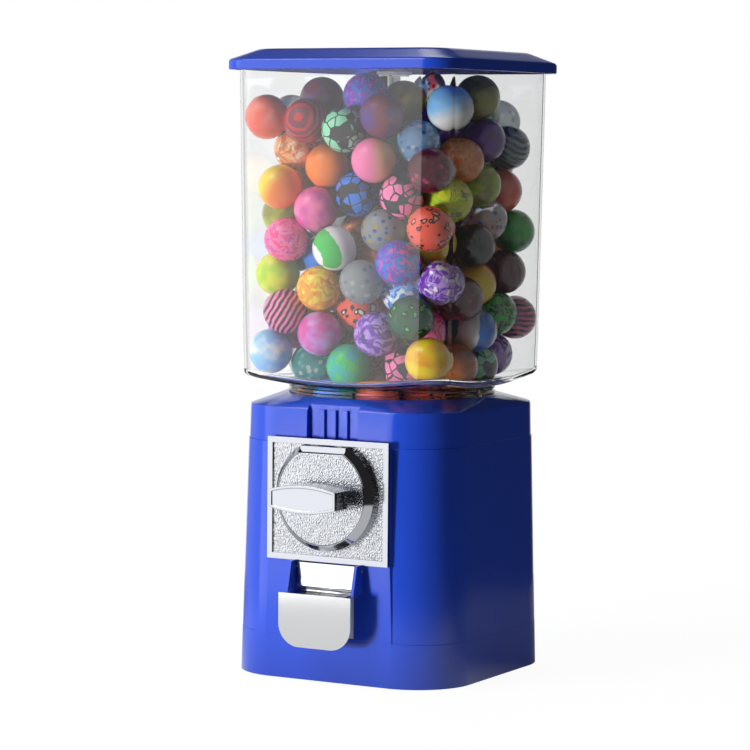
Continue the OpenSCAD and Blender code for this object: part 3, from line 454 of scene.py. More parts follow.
# The balls at the front: pattern and pigments of each, a row of balls per entry from the lid down, each
# row from left to right. The balls behind them are drawn from the same stock.
ROWS = [
    [ball.split() for ball in row.split(", ")]
    for row in (
        "plain coral salmon, stripes maroon red, net mint black, plain maroon violet, halves sky white, "
        "plain olive moss, plain violet purple, stripes slate black",
        "marble rust apricot cream, halves pink orange, halves pink apricot, clear sky white blue, "
        "marble apricot orange rust, plain olive lime",
        "halves orange yellow, plain magenta pink, net blue black, net pink black, clear maroon rose maroon, "
        "marble lime lemon olive, clear white blue red",
        "marble rose pink magenta, swirl green white, clear grey yellow blue, marble purple blue magenta, "
        "spots coral black salmon, halves black red, plain green forest",
        "plain lime lemon, marble amber yellow orange, clear grey white slate, spots coral black cream, "
        "marble lilac purple white, spots forest black green, stripes maroon black, swirl blue white",
        "stripes pink black, plain magenta lilac, marble purple lilac violet, marble teal green teal, "
        "plain yellow amber, plain rust brown, clear brown apricot rust, spots coral black salmon",
        "plain sky white, clear teal aqua white, plain blue blue, halves orange pink, plain green lime, "
        "checks green black, checks slate black, marble moss olive black, net yellow black",
        "marble orange yellow rust, spots salmon black cream, spots coral black salmon, "
        "marble blue white sky, clear white red blue, marble lime lemon green, swirl white maroon, "
        "plain rust orange, plain violet purple",
    )
]
STOCK = [ball for row in ROWS for ball in row]
HIDING = (0.008, 0.017)  # metres: a ball this much nearer and less than this aside hides another
# What each ball carries: a mesh attribute's kind and the field that holds its value
BALL_DATA = {
    "style": ("INT", "value"),
    "tint_a": ("FLOAT_COLOR", "color"),
    "tint_b": ("FLOAT_COLOR", "color"),
    "tint_c": ("FLOAT_COLOR", "color"),
    "turn": ("FLOAT_VECTOR", "vector"),
    "luck": ("FLOAT_VECTOR", "vector"),
}


def ball_centres(node):
    """Centre of each ball in a CAD node, in metres, from the lowest up."""
    copy = bmesh.new()
    copy.from_mesh(NODES[node].data)
    bmesh.ops.remove_doubles(copy, verts=copy.verts, dist=SAME_POINT)
    left, centres = set(copy.verts), []
    while left:
        start = left.pop()
        ball, edge = [start], [start]
        while edge:
            for link in edge.pop().link_edges:
                for corner in link.verts:
                    if corner in left:
                        left.discard(corner)
                        ball.append(corner)
                        edge.append(corner)
        spots = np.array([corner.co for corner in ball])
        centres.append((spots.min(0) + spots.max(0)) / 2)
    copy.free()
    return sorted((tuple(c) for c in centres), key=lambda c: (round(c[2], 4), round(c[0], 4), round(c[1], 4)))


def front_balls(balls):
    """The stock entry that each ball nearest the viewer takes, from a list of group, number and centre."""
    turn, (nearer, aside) = math.radians(VIEW_TURN), HIDING
    right, away = Vector((math.cos(turn), math.sin(turn), 0)), Vector((-math.sin(turn), math.cos(turn), 0))
    seen = [((group, i), c.dot(right), c.z, c.dot(away)) for group, i, c in balls]
    front = [
        (ball, x, z)
        for ball, x, z, depth in seen
        if not any(d < depth - nearer and math.hypot(ox - x, oz - z) < aside for _, ox, oz, d in seen)
    ]
    left, wide = min(f[1] for f in front), max(f[1] for f in front) - min(f[1] for f in front)
    low, high = min(f[2] for f in front), max(f[2] for f in front)
    chosen = {}
    for row, entries in enumerate(ROWS):
        z = high - (high - low) * row / (len(ROWS) - 1)
        for k, entry in enumerate(entries):
            x = left + wide * k / (len(entries) - 1)
            free = [f for f in front if f[0] not in chosen]
            if not free:
                return chosen
            nearest = min(free, key=lambda f: math.hypot(f[1] - x, f[2] - z))
            chosen[nearest[0]] = entry
    return chosen


def ball_points(group, centres, chosen, luck):
    """A mesh of one point per ball, which carries its pattern, three tints, turn and pattern's shift."""
    mesh = bpy.data.meshes.new(group + "_points")
    mesh.from_pydata(centres, [], [])
    data = {key: [] for key in BALL_DATA}
    for i in range(len(centres)):
        pattern, *pigments = chosen.get((group, i)) or luck.choice(STOCK)
        tints = [linear(PIGMENT[p]) for p in pigments]
        tints += [tints[-1]] * (3 - len(tints))
        data["style"].append(list(PATTERNS).index(pattern))
        for key, tint in zip(("tint_a", "tint_b", "tint_c"), tints):
            data[key] += tint
        data["turn"] += [luck.uniform(0, 2 * math.pi) for _ in range(3)]
        data["luck"] += [luck.uniform(0, 40) for _ in range(3)]
    for key, (kind, field) in BALL_DATA.items():
        mesh.attributes.new(key, kind, "POINT").data.foreach_set(field, data[key])
    return mesh


def ball_tree(finishes):
    """Geometry Nodes: a ball on every point, turned, with its pattern's material."""
    tree = bpy.data.node_groups.new("balls_on_points", "GeometryNodeTree")
    face = tree.interface
    face.new_socket("Geometry", in_out="INPUT", socket_type="NodeSocketGeometry")
    face.new_socket("Ball Diameter", in_out="INPUT", socket_type="NodeSocketFloat").default_value = 0.028
    face.new_socket("Subdivisions", in_out="INPUT", socket_type="NodeSocketInt").default_value = 4
    face.new_socket("Geometry", in_out="OUTPUT", socket_type="NodeSocketGeometry")
    given = add(tree, "NodeGroupInput").outputs
    radius = add(tree, "ShaderNodeMath", {0: given["Ball Diameter"], 1: 0.5}, operation="MULTIPLY")
    ball = add(tree, "GeometryNodeMeshIcoSphere", {"Radius": radius, "Subdivisions": given["Subdivisions"]})
    smooth = add(tree, "GeometryNodeSetShadeSmooth", {"Geometry": ball})
    at = add(tree, "GeometryNodeInputPosition")
    unit = add(tree, "ShaderNodeVectorMath", {0: at}, operation="NORMALIZE")
    marked = add(
        tree,
        "GeometryNodeStoreNamedAttribute",
        {"Geometry": smooth, "Name": "on_ball", "Value": unit},
        data_type="FLOAT_VECTOR",
        domain="POINT",
    )
    turn = add(tree, "GeometryNodeInputNamedAttribute", {"Name": "turn"}, data_type="FLOAT_VECTOR")
    spun = add(tree, "FunctionNodeEulerToRotation", {0: turn})
    each = {"Points": given["Geometry"], "Instance": marked, "Rotation": spun}
    last = add(tree, "GeometryNodeRealizeInstances", {0: add(tree, "GeometryNodeInstanceOnPoints", each)})
    style = add(tree, "GeometryNodeInputNamedAttribute", {"Name": "style"}, data_type="INT")
    for i, finish in enumerate(finishes):
        same = add(tree, "FunctionNodeCompare", {2: style, 3: i}, data_type="INT", operation="EQUAL")
        last = add(tree, "GeometryNodeSetMaterial", {"Geometry": last, "Selection": same, "Material": finish})
    add(tree, "NodeGroupOutput", {"Geometry": last})
    return tree


# ---------------------------------------------------------------- meshes

SHARP_EDGE = 38.0  # edges of the CAD mesh that turn by more degrees than this are rounded
FLAT_FACET = 0.3  # facets that turn by fewer degrees than this become one face
SMOOTH_EDGE = 30.0  # edges that turn by more degrees than this stay sharp in shading
LEVEL_MATCH = 0.1  # millimetres off its level within which a face counts as the pebbled one
PLATE_FIELD = -80.2  # the pebbled face of the mechanism's plate, along Y
ARC_STEPS, SIDE_STEPS = 14, 8  # points round each corner and along each side of a rounded square


def solid_mesh(name, points, faces, finish, sharp=SMOOTH_EDGE):
    """A smooth-shaded mesh from points in millimetres."""
    mesh = bpy.data.meshes.new(name)
    mesh.from_pydata([tuple(c * MM for c in p) for p in points], [], faces)
    mesh.materials.append(finish)
    mesh.shade_smooth()
    mesh.set_sharp_from_angle(angle=math.radians(sharp))
    mesh.validate()
    return mesh


def in_scene(name, data):
    """A new object in the scene."""
    made = bpy.data.objects.new(name, data)
    bpy.context.scene.collection.objects.link(made)
    return made


def place(name, mesh, body, nodes):
    """Puts a finished mesh in the scene, riding on a body in place of its CAD nodes."""
    made = in_scene(name, mesh)
    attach(made, body)
    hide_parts(*nodes)


def flattened(made):
    """The object's mesh with its modifiers baked in."""
    graph = bpy.context.evaluated_depsgraph_get()
    baked = bpy.data.meshes.new_from_object(
        made.evaluated_get(graph), preserve_all_data_layers=True, depsgraph=graph
    )
    bpy.data.objects.remove(made)
    return baked


def eased(name, node, finish, width, field=None, level=0.0):
    """A copy of a CAD node with its edges rounded by width; its front face at level has the finish field."""
    mesh = NODES[node].data.copy()
    mesh.name = name
    copy = bmesh.new()
    copy.from_mesh(mesh)
    bmesh.ops.remove_doubles(copy, verts=copy.verts, dist=SAME_POINT)
    flat, turned = math.radians(FLAT_FACET), math.radians(SHARP_EDGE)
    bmesh.ops.dissolve_limit(copy, angle_limit=flat, verts=copy.verts, edges=copy.edges)
    sharp = [e for e in copy.edges if len(e.link_faces) == 2 and e.calc_face_angle() > turned]
    bmesh.ops.bevel(
        copy,
        geom=sharp,
        offset=width * MM,
        segments=2,
        profile=0.6,
        affect="EDGES",
        clamp_overlap=True,
    )
    for face in copy.faces:
        off_level = abs(face.calc_center_median().y - level * MM)
        forward = face.normal.y < -0.99 and off_level < LEVEL_MATCH * MM
        face.material_index = 1 if field and forward else 0
    bmesh.ops.triangulate(copy, faces=copy.faces)
    # the slots are set before the mesh is written, because clearing them later resets its faces' slots
    mesh.materials.clear()
    for each in (finish, field) if field else (finish,):
        mesh.materials.append(each)
    copy.to_mesh(mesh)
    copy.free()
    mesh.shade_smooth()
    mesh.set_sharp_from_angle(angle=math.radians(SMOOTH_EDGE))
    holder = in_scene(name + "_work", mesh)
    even = holder.modifiers.new("even", "WEIGHTED_NORMAL")
    even.keep_sharp = True
    even.weight = 80
    return flattened(holder)


def square_ring(half, r, z):
    """A rounded square's points at a height, corner by corner; z is a number or a function of the point."""
    quarters = ((1, 1), (-1, 1), (-1, -1), (1, -1))
    points = []
    for q, (sx, sy) in enumerate(quarters):
        for i in range(ARC_STEPS + 1):
            a = math.radians(90 * (q + i / ARC_STEPS))
            points.append(((half - r) * sx + r * math.cos(a), (half - r) * sy + r * math.sin(a)))
        nx, ny = quarters[(q + 1) % 4]
        a = math.radians(90 * (q + 1))
        x0, y0 = points[-1]
        x1, y1 = (half - r) * nx + r * math.cos(a), (half - r) * ny + r * math.sin(a)
        for i in range(1, SIDE_STEPS):
            points.append((x0 + (x1 - x0) * i / SIDE_STEPS, y0 + (y1 - y0) * i / SIDE_STEPS))
    return [(x, y, z(x, y) if callable(z) else z) for x, y in points]


def round_ring(radius, z, like):
    """A circle whose points lie in the same directions as another ring's."""
    made = []
    for x, y, _ in like:
        far = math.hypot(x, y)
        made.append((x * radius / far, y * radius / far, z))
    return made


def lofted(rings, closed=False):
    """Points and faces through rings of equal counts, from the bottom of the outside round to the inside."""
    count = len(rings[0])
    points = [p for ring in rings for p in ring]
    faces = []
    for r in range(len(rings) if closed else len(rings) - 1):
        a, b = r * count, ((r + 1) % len(rings)) * count
        for i in range(count):
            j = (i + 1) % count
            faces.append((a + i, a + j, b + j, b + i))
    if not closed:
        faces.append(tuple(reversed(range(count))))
        faces.append(tuple((len(rings) - 1) * count + i for i in range(count)))
    return points, faces


# The globe, in millimetres
NECK = 65.0  # radius of the neck below the dish
NECK_STEPS = (170.0, 176.6)  # heights of the neck's plain rings
BEADS = (177.2, 179.6)  # heights at which the two beads round the neck start
BEAD = ((0.0, 0.0), (0.15, 0.62), (0.5, 0.9), (0.85, 0.62), (1.0, 0.0))  # up a bead, and out from the neck
DISH = 181.4  # height of the dished floor at the neck
DISH_SLOPE = 0.2
TAPER_FROM = DISH - 5.0  # the walls widen from this height up
THROAT = ((-0.9, 0.0), (-0.2, 0.35), (0.05, 1.1))  # the neck's turn into the dish: up from it, and out
LOW_EDGE = 2.6  # radius of the rounded lower edge
WALL_FROM = 188.0  # height at which the plain walls start
WALL_STEPS = 8
RIM = 0.5  # chamfer of the open rim
GLOBE_SHARP = 40.0  # edges that turn by more degrees than this stay sharp


def globe_mesh(finish, sizes):
    """Moulded square globe: neck with beads, dished floor, rounded lower edge, open top."""
    low_half, top_half = sizes.globe_low / MM / 2, sizes.globe_top / MM / 2
    corner, wall = sizes.globe_corner / MM, sizes.globe_wall / MM
    bottom, top = edge_of("globe", 2, 0), edge_of("globe", 2, 1)
    like = square_ring(low_half, corner, 0.0)

    def half_at(z):
        return low_half + (top_half - low_half) * (z - TAPER_FROM) / (top - TAPER_FROM)

    def skin(inset):
        """The rings of one face of the wall, from the bottom up."""

        def dish(x, y, up=0.0):
            return DISH + inset + DISH_SLOPE * max(0.0, math.hypot(x, y) - NECK) + up

        steps = [(z, 0.0) for z in (bottom, *NECK_STEPS)]
        if inset == 0:
            steps += [(z + up, out) for z in BEADS for up, out in BEAD]
        steps += [(DISH + inset + up, out) for up, out in THROAT]
        rings = [round_ring(NECK - inset + out, z, like) for z, out in steps]
        throat, far = rings[-1], square_ring(low_half - inset - LOW_EDGE, corner - inset, 0.0)
        for share in (0.35, 0.7):
            flat = [(a[0] + (b[0] - a[0]) * share, a[1] + (b[1] - a[1]) * share) for a, b in zip(throat, far)]
            rings.append([(x, y, dish(x, y)) for x, y in flat])
        for turn in range(0, 91, 15):
            out = LOW_EDGE * (1 - math.sin(math.radians(turn)))
            up = LOW_EDGE * (1 - math.cos(math.radians(turn)))
            rings.append(square_ring(low_half - inset - out, corner - inset, lambda x, y: dish(x, y, up)))
        for k in range(1, WALL_STEPS + 1):
            z = WALL_FROM + inset + (top - WALL_FROM - inset) * k / WALL_STEPS
            rings.append(square_ring(half_at(z) - inset, corner - inset, z))
        return rings

    outer, inner = skin(0.0), skin(wall)
    outer[-1:] = [square_ring(top_half, corner, top - RIM), square_ring(top_half - RIM, corner - RIM, top)]
    hollow, within = top_half - wall, corner - wall
    inner[-1:] = [square_ring(hollow, within, top - RIM), square_ring(hollow + RIM, within + RIM, top)]
    points, faces = lofted(outer + inner[::-1], closed=True)
    return solid_mesh("clear_globe", points, faces, finish, GLOBE_SHARP)


# The lid, in millimetres
LID_WALL = 3.0
LID_RIM = 7.1  # height of its upright rim
LID_SHOULDER = 2.2  # radius between rim and slope
LID_SHOULDER_STEPS = 6
LID_FOOT = ((0.5, 0.5, 0.0), (0.1, 0.0, 0.3), (0.0, 0.0, 0.8))  # rim's lower edge: in, off the corner, and up
LID_TIGHTER = (4.0, 5.0)  # how much smaller its corner's radius is at the top of the slope, and on the flat
LID_SOFT = ((2.2, 0.12), (5.0, 0.0))  # the flat's soft edge: in from it, and down
LID_HUB = (50.0, 30.0, 14.0)  # radii of rings on the flat
LOCK_HOLE = 9.55  # radius
LEDGE_UP = 4.6  # height of the ledge that lies over the globe's rim
HOLLOW = 71.5  # half the width of the hollow within the ledge
HOLLOW_CORNER = 16.0
HOLLOW_TOP = 1.5  # how far below the rim's top the hollow's upright wall ends
LID_SHARP = 28.0  # edges that turn by more degrees than this stay sharp


def lid_mesh(finish, sizes):
    """Lid: straight rim with a rounded shoulder, four gentle slopes and a flat, hollow within a ledge."""
    low, flat = edge_of("lid", 2, 0), edge_of("lid", 2, 1)
    half, corner, top_half = sizes.lid_width / MM / 2, sizes.lid_corner / MM, sizes.lid_flat / MM / 2
    rim = low + LID_RIM
    tilt = math.pi / 2 - math.atan((flat - rim) / (half - top_half))
    rings = [square_ring(half - inward, corner - tighter, low + up) for inward, tighter, up in LID_FOOT]
    for k in range(LID_SHOULDER_STEPS + 1):
        a = tilt * k / LID_SHOULDER_STEPS
        wide, high = half - LID_SHOULDER * (1 - math.cos(a)), rim - LID_SHOULDER * (1 - math.sin(a))
        rings.append(square_ring(wide, corner, high))
    for share in (0.25, 0.5, 0.75, 0.93):
        across, up = wide - (wide - top_half) * share, high + (flat - high) * share
        rings.append(square_ring(across, corner - LID_TIGHTER[0] * share, up))
    tight = corner - LID_TIGHTER[1]
    rings += [square_ring(top_half - inward, tight, flat - down) for inward, down in LID_SOFT]
    like, under, ledge = rings[-1], flat - LID_WALL, low + LEDGE_UP
    rings += [round_ring(radius, flat, like) for radius in (*LID_HUB, LOCK_HOLE)]
    rings += [round_ring(radius, under, like) for radius in (LOCK_HOLE, LID_HUB[1])]
    rings.append(square_ring(top_half - LID_WALL, HOLLOW_CORNER, under))
    rings += [square_ring(HOLLOW, HOLLOW_CORNER, z) for z in (rim - HOLLOW_TOP, ledge)]
    rings += [square_ring(half - LID_WALL, corner - LID_WALL, z) for z in (ledge, low)]
    points, faces = lofted(rings, closed=True)
    return solid_mesh("lid_shell", points, faces, finish, LID_SHARP)


# ---------------------------------------------------------------- sizes and colours


class GumballSizes(bpy.types.PropertyGroup):
    """Sizes of the globe, the lid and the balls"""

    globe_top: bpy.props.FloatProperty(
        name="Globe top width",
        description="Width of the globe at its open top",
        default=2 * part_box("globe")[1][0],
        unit="LENGTH",
    )
    globe_low: bpy.props.FloatProperty(
        name="Globe low width", description="Width of its lower edge", default=0.1456, unit="LENGTH"
    )
    globe_corner: bpy.props.FloatProperty(
        name="Globe corner", description="Radius of the globe's upright corners", default=0.016, unit="LENGTH"
    )
    globe_wall: bpy.props.FloatProperty(
        name="Globe wall", description="Thickness of the globe", default=0.0025, unit="LENGTH"
    )
    lid_width: bpy.props.FloatProperty(
        name="Lid width",
        description="Width across the lid's rim",
        default=2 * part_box("lid")[1][0],
        unit="LENGTH",
    )
    lid_flat: bpy.props.FloatProperty(
        name="Lid flat", description="Width of the flat on top of the lid", default=0.1314, unit="LENGTH"
    )
    lid_corner: bpy.props.FloatProperty(
        name="Lid corner", description="Radius of the lid's corners", default=0.019, unit="LENGTH"
    )
    ball_size: bpy.props.FloatProperty(
        name="Ball", description="Diameter of a toy ball", default=0.028, unit="LENGTH"
    )


class GumballColours(bpy.types.PropertyGroup):
    """Colours of the shells and the floor"""

    shell_colour: bpy.props.FloatVectorProperty(
        name="Shell",
        description="Colour of the moulded shells",
        subtype="COLOR",
        size=3,
        default=linear("#2650D7")[:3],
        min=0,
        max=1,
    )
    floor_colour: bpy.props.FloatVectorProperty(
        name="Floor",
        description="Colour of the studio floor",
        subtype="COLOR",
        size=3,
        default=linear("#F4F4F4")[:3],
        min=0,
        max=1,
    )


# ---------------------------------------------------------------- steps

finishes = {}  # material slot to material, and the balls' materials in a list, from the first step


class GUMBALL_OT_finishes(bpy.types.Operator):
    """Makes every material and gives it to the CAD nodes that stay"""

    bl_idname = "gumball.finishes"
    bl_label = "Finishes"

    def execute(self, context):
        finishes["blue_shell"] = blue_abs(context.scene.gumball_colours.shell_colour)
        for slot, make in (
            ("clear_globe", clear_polycarbonate),
            ("chrome_plate", chrome_plated_zinc),
            ("pebbled_plate", pebbled_chrome_plate),
            ("stainless", polished_stainless_sheet),
            ("zinc_casting", zinc_die_casting),
            ("galvanised_sheet", galvanised_sheet),
            ("steel", zinc_plated_steel),
            ("brass", turned_brass),
            ("rubber", moulded_rubber),
            ("white_moulding", white_acetal_moulding),
        ):
            finishes[slot] = make()
        for entry in frame["record"]["subparts"]:
            slot = entry["material_slot"]
            if slot in finishes:
                for holder in NODES[entry["node"]].material_slots:
                    holder.material = finishes[slot]
        finishes["balls"] = [make() for make in PATTERNS.values()]
        return {"FINISHED"}


class GUMBALL_OT_shells(bpy.types.Operator):
    """Blue mouldings: base, housing, cap and lid"""

    bl_idname = "gumball.shells"
    bl_label = "Shells"

    def execute(self, context):
        blue = finishes["blue_shell"]
        for name, node in (
            ("base_moulding", "base_shell"),
            ("housing_moulding", "main_housing"),
            ("cap_moulding", "top_cap"),
        ):
            place(name, eased(name, node, blue, 0.4), "machine", [node])
        place("lid_moulding", lid_mesh(blue, context.scene.gumball_sizes), "lid", ["lid"])
        return {"FINISHED"}


class GUMBALL_OT_globe(bpy.types.Operator):
    """Clear square globe"""

    bl_idname = "gumball.globe"
    bl_label = "Globe"

    def execute(self, context):
        mesh = globe_mesh(finishes["clear_globe"], context.scene.gumball_sizes)
        place("globe_moulding", mesh, "machine", ["globe"])
        return {"FINISHED"}


class GUMBALL_OT_balls(bpy.types.Operator):
    """Toy balls in the globe and in the wheel's pockets"""

    bl_idname = "gumball.balls"
    bl_label = "Toy balls"

    def execute(self, context):
        in_globe = [f"globe_balls_{k}" for k in range(1, 9)]
        bodies = {group: "machine" for group in in_globe} | {"wheel_balls": "wheel"}
        centres = {group: ball_centres(group) for group in bodies}
        chosen = front_balls([(g, i, Vector(c)) for g in in_globe for i, c in enumerate(centres[g])])
        luck = random.Random(7)
        tree = ball_tree(finishes["balls"])
        sockets = {item.name: item.identifier for item in tree.interface.items_tree}
        for group, body in bodies.items():
            holder = in_scene(group + "_work", ball_points(group, centres[group], chosen, luck))
            maker = holder.modifiers.new("balls", "NODES")
            maker.node_group = tree
            maker[sockets["Ball Diameter"]] = context.scene.gumball_sizes.ball_size
            cast = flattened(holder)
            cast.name = group + "_cast"
            for key in ("turn", "style"):
                if key in cast.attributes:
                    cast.attributes.remove(cast.attributes[key])
            place(group + "_cast", cast, body, [group])
        return {"FINISHED"}


class GUMBALL_OT_mechanism(bpy.types.Operator):
    """Coin mechanism's face plate, dial and handle, and the chute door"""

    bl_idname = "gumball.mechanism"
    bl_label = "Coin mechanism"

    def execute(self, context):
        chrome, pebbled = finishes["chrome_plate"], finishes["pebbled_plate"]
        plate = (chrome, 0.45, pebbled, PLATE_FIELD)
        dial = (chrome, 0.3, pebbled, edge_of("dial_disc", 1, 0))
        for name, node, body, slot, finish in (
            ("face_plate_casting", "mech_faceplate", "machine", "chrome_plate", plate),
            ("dial_casting", "dial_disc", "crank", "chrome_plate", dial),
            ("handle_casting", "handle", "crank", "chrome_plate", (chrome, 0.5)),
            ("door_pressing", "chute_door", "door", "stainless", (finishes["stainless"], 0.25)),
        ):
            place(name, eased(name, node, *finish), body, [node])
        return {"FINISHED"}


# ---------------------------------------------------------------- stage

FLOOR_HALF = 450.0  # half-width of the round floor, in millimetres
FLOOR_THICK = 4.0
FLOOR_GLOW = 1.12  # light of the floor where it is seen white
FLOOR_WHITE = 0.85  # share of that glow to the viewer and through the globe
MIRRORED_WHITE = 0.75  # share of it that the front of the machine mirrors
MIRRORED_FADE = (-0.06, 0.06)  # along Y, where that share starts to fade and where it is gone, in metres
DIM = 0.035  # light of the room where nothing is lit
BACKDROP = (-0.49, 0.87, -0.06)  # the way to the middle of the backdrop
# The room's lit parts, which are the left side, the backdrop and a ceiling panel: the way to each, the
# cosines of the angle off it where it starts and where it is full, and its strength
LIT_PARTS = (
    ((-1.0, -0.15, 0.1), 0.4, 0.95, 0.6),
    (BACKDROP, 0.9, 0.97, 0.9),
    ((-0.30, 0.62, 0.72), 0.976, 0.99, 2.2),
)
# Lamps: degrees round from the front and up, distance and size in metres, watts, whether it is mirrored
# and whether it lights: a small key low on the left, a softbox that the front faces mirror, and two weak ones
LAMPS = {
    "key_light": (-28.0, -7.0, 1.6, (0.22, 0.22), 21.0, False, True),
    "softbox": (-40.0, 8.0, 1.9, (1.75, 2.0), 18.5, True, False),
    "top_light": (-34.0, 48.0, 1.9, (0.8, 0.6), 9.0, True, True),
    "side_light": (75.0, 15.0, 1.9, (1.2, 1.2), 2.5, False, True),
}
LAMPS_AIM = Vector((0, 0, 0.2))
VIEW_DROP, VIEW_ROLL = 4.445, 0.495  # degrees that the camera looks down and leans
VIEW_AIM, VIEW_ASIDE, VIEW_FAR = Vector((0, 0, 0.18638)), 0.01085, 1.93082  # metres
VIEW_LENS = 145.5  # millimetres, on a sensor of 36


class GUMBALL_OT_stage(bpy.types.Operator):
    """Pale floor, soft lights, world and camera"""

    bl_idname = "gumball.stage"
    bl_label = "Stage"

    def execute(self, context):
        self.floor(context.scene.gumball_colours.floor_colour)
        self.world(context.scene)
        for name, lamp in LAMPS.items():
            self.lamp(name, *lamp)
        self.camera(context.scene)
        return {"FINISHED"}

    def floor(self, colour):
        """A matt painted floor: white to the viewer and through the globe, and mirrored white in front."""
        made, tree = blank("painted_studio_floor")
        paint = {"IOR": 1.45, "Base Color": (*colour, 1.0), "Roughness": haze(tree, 0.85, 0.95, 300.0)}
        matt = add(tree, "ShaderNodeBsdfPrincipled", paint)
        path = add(tree, "ShaderNodeLightPath").outputs
        rays = {0: path["Is Camera Ray"], 1: path["Is Transmission Ray"]}
        seen = add(tree, "ShaderNodeMath", rays, operation="MAXIMUM")
        at = add(tree, "ShaderNodeTexCoord").outputs["Object"]
        start, end = MIRRORED_FADE
        ramp = {
            "Value": add(tree, "ShaderNodeSeparateXYZ", {0: at}).outputs[1],
            "From Min": start,
            "From Max": end,
            "To Min": MIRRORED_WHITE,
            "To Max": 0.0,
        }
        ahead = add(tree, "ShaderNodeMapRange", ramp)
        mirrored = add(tree, "ShaderNodeMath", {0: path["Is Glossy Ray"], 1: ahead}, operation="MULTIPLY")
        share = add(tree, "ShaderNodeMath", {0: seen, 1: FLOOR_WHITE, 2: mirrored}, operation="MULTIPLY_ADD")
        glow = add(tree, "ShaderNodeEmission", {"Strength": FLOOR_GLOW})
        surfaced(made, add(tree, "ShaderNodeMixShader", {0: share, 1: matt, 2: glow}))
        disc = [square_ring(FLOOR_HALF, FLOOR_HALF - 1.0, z) for z in (-FLOOR_THICK, 0.0)]
        in_scene("studio_floor", solid_mesh("studio_floor", *lofted(disc), made))

    def lamp(self, name, az, el, far, size, power, mirrored, lights):
        """A rectangular light that faces the machine and that the viewer doesn't see."""
        light = bpy.data.lights.new(name, "AREA")
        light.shape = "RECTANGLE"
        light.size, light.size_y = size
        light.energy = power
        holder = in_scene(name, light)
        az, el = math.radians(az), math.radians(el)
        out = Vector((math.sin(az) * math.cos(el), -math.cos(az) * math.cos(el), math.sin(el)))
        facing = (-out).to_track_quat("-Z", "Y").to_matrix().to_4x4()
        holder.matrix_world = Matrix.Translation(LAMPS_AIM + out * far) @ facing
        holder.visible_camera = holder.visible_transmission = False
        holder.visible_glossy, holder.visible_diffuse = mirrored, lights

    def world(self, scene):
        """White for the viewer and through the globe, and a dim room with its lit parts for the rest."""
        world = bpy.data.worlds.new("studio")
        scene.world = world
        world.use_nodes = True
        tree = world.node_tree
        tree.nodes.clear()
        way = add(tree, "ShaderNodeTexCoord").outputs["Generated"]

        def toward(direction, start, end):
            """1 in a direction and 0 well off it."""
            ways = {0: way, 1: Vector(direction).normalized()}
            along = add(tree, "ShaderNodeVectorMath", ways, operation="DOT_PRODUCT").outputs["Value"]
            return add(tree, "ShaderNodeMapRange", {"Value": along, "From Min": start, "From Max": end})

        strength = DIM
        for direction, start, end, power in LIT_PARTS:
            part = {0: toward(direction, start, end), 1: power, 2: strength}
            strength = add(tree, "ShaderNodeMath", part, operation="MULTIPLY_ADD")
        room = add(tree, "ShaderNodeBackground", {"Color": linear("#FFFFFF"), "Strength": strength})
        white = add(tree, "ShaderNodeBackground", {"Color": linear("#FFFFFF"), "Strength": 1.0})
        # through the globe it is white behind it, and everywhere for a ray that has gone into a second wall
        path = add(tree, "ShaderNodeLightPath").outputs
        depth, behind = path["Transmission Depth"], toward(BACKDROP, 0.72, 0.85)
        passed = add(tree, "ShaderNodeMath", {0: depth, 1: 2.5}, operation="GREATER_THAN")
        either = add(tree, "ShaderNodeMath", {0: passed, 1: behind}, operation="MAXIMUM")
        rays = {0: path["Is Transmission Ray"], 1: either, 2: path["Is Camera Ray"]}
        seen = add(tree, "ShaderNodeMath", rays, operation="MULTIPLY_ADD")
        both = add(tree, "ShaderNodeMixShader", {0: seen, 1: room, 2: white})
        add(tree, "ShaderNodeOutputWorld", {"Surface": both})

    def camera(self, scene):
        """A long lens, to the right of the front and above the machine's middle."""
        turn, drop, roll = (math.radians(a) for a in (VIEW_TURN, VIEW_DROP, VIEW_ROLL))
        right = Vector((math.cos(turn), math.sin(turn), 0))
        ahead = Vector((-math.sin(turn), math.cos(turn), 0))
        forward = ahead * math.cos(drop) - Vector((0, 0, math.sin(drop)))
        up = right.cross(forward)
        across = right * math.cos(roll) + up * math.sin(roll)
        upright = up * math.cos(roll) - right * math.sin(roll)
        lens = bpy.data.cameras.new("camera")
        lens.lens = VIEW_LENS
        lens.sensor_width = 36.0
        lens.clip_start = 0.05
        holder = in_scene("camera", lens)
        spot = VIEW_AIM - right * VIEW_ASIDE - forward * VIEW_FAR
        turned = Matrix((across, upright, -forward)).transposed().to_4x4()
        holder.matrix_world = Matrix.Translation(spot) @ turned
        scene.camera = holder


class GUMBALL_PT_panel(bpy.types.Panel):
    """Sizes, colours and the steps in order"""

    bl_label = "Gumball Machine"
    bl_idname = "GUMBALL_PT_panel"
    bl_space_type = "VIEW_3D"
    bl_region_type = "UI"
    bl_category = "Gumball"

    def draw(self, context):
        for group in (context.scene.gumball_sizes, context.scene.gumball_colours):
            for key in group.__annotations__:
                self.layout.prop(group, key)
        for step in STEPS:
            self.layout.operator(step.bl_idname)


STEPS = (
    GUMBALL_OT_finishes,
    GUMBALL_OT_shells,
    GUMBALL_OT_globe,
    GUMBALL_OT_balls,
    GUMBALL_OT_mechanism,
    GUMBALL_OT_stage,
)
CLASSES = (GumballSizes, GumballColours, *STEPS, GUMBALL_PT_panel)


def register():
    for each in CLASSES:
        bpy.utils.register_class(each)
    bpy.types.Scene.gumball_sizes = bpy.props.PointerProperty(type=GumballSizes)
    bpy.types.Scene.gumball_colours = bpy.props.PointerProperty(type=GumballColours)


def unregister():
    del bpy.types.Scene.gumball_colours
    del bpy.types.Scene.gumball_sizes
    for each in reversed(CLASSES):
        bpy.utils.unregister_class(each)


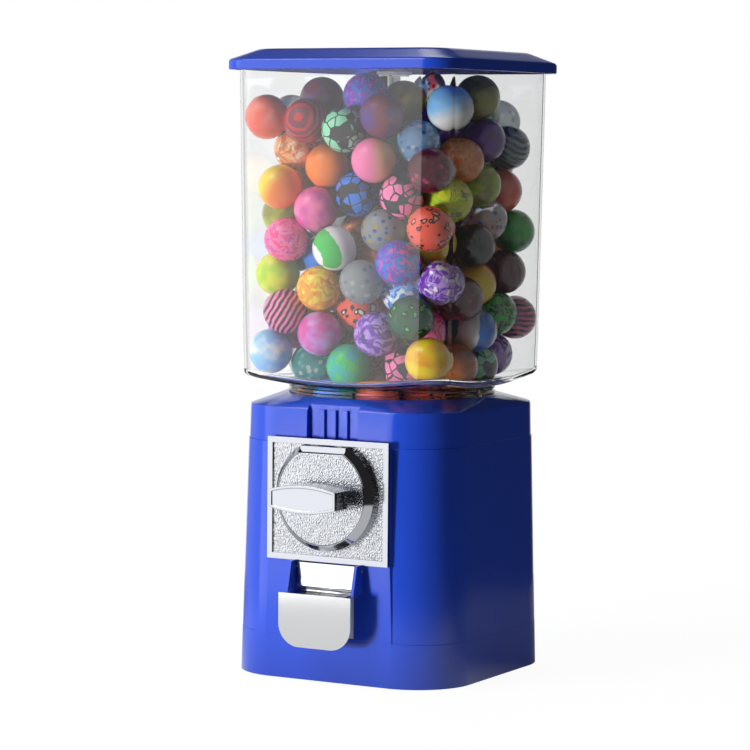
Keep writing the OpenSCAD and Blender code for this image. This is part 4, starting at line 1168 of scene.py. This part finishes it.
def main():
    bpy.context.scene.view_settings.view_transform = "Standard"
    register()
    bpy.ops.gumball.finishes()
    bpy.ops.gumball.shells()
    bpy.ops.gumball.globe()
    bpy.ops.gumball.balls()
    bpy.ops.gumball.mechanism()
    bpy.ops.gumball.stage()


if __name__ == "__main__":
    main()
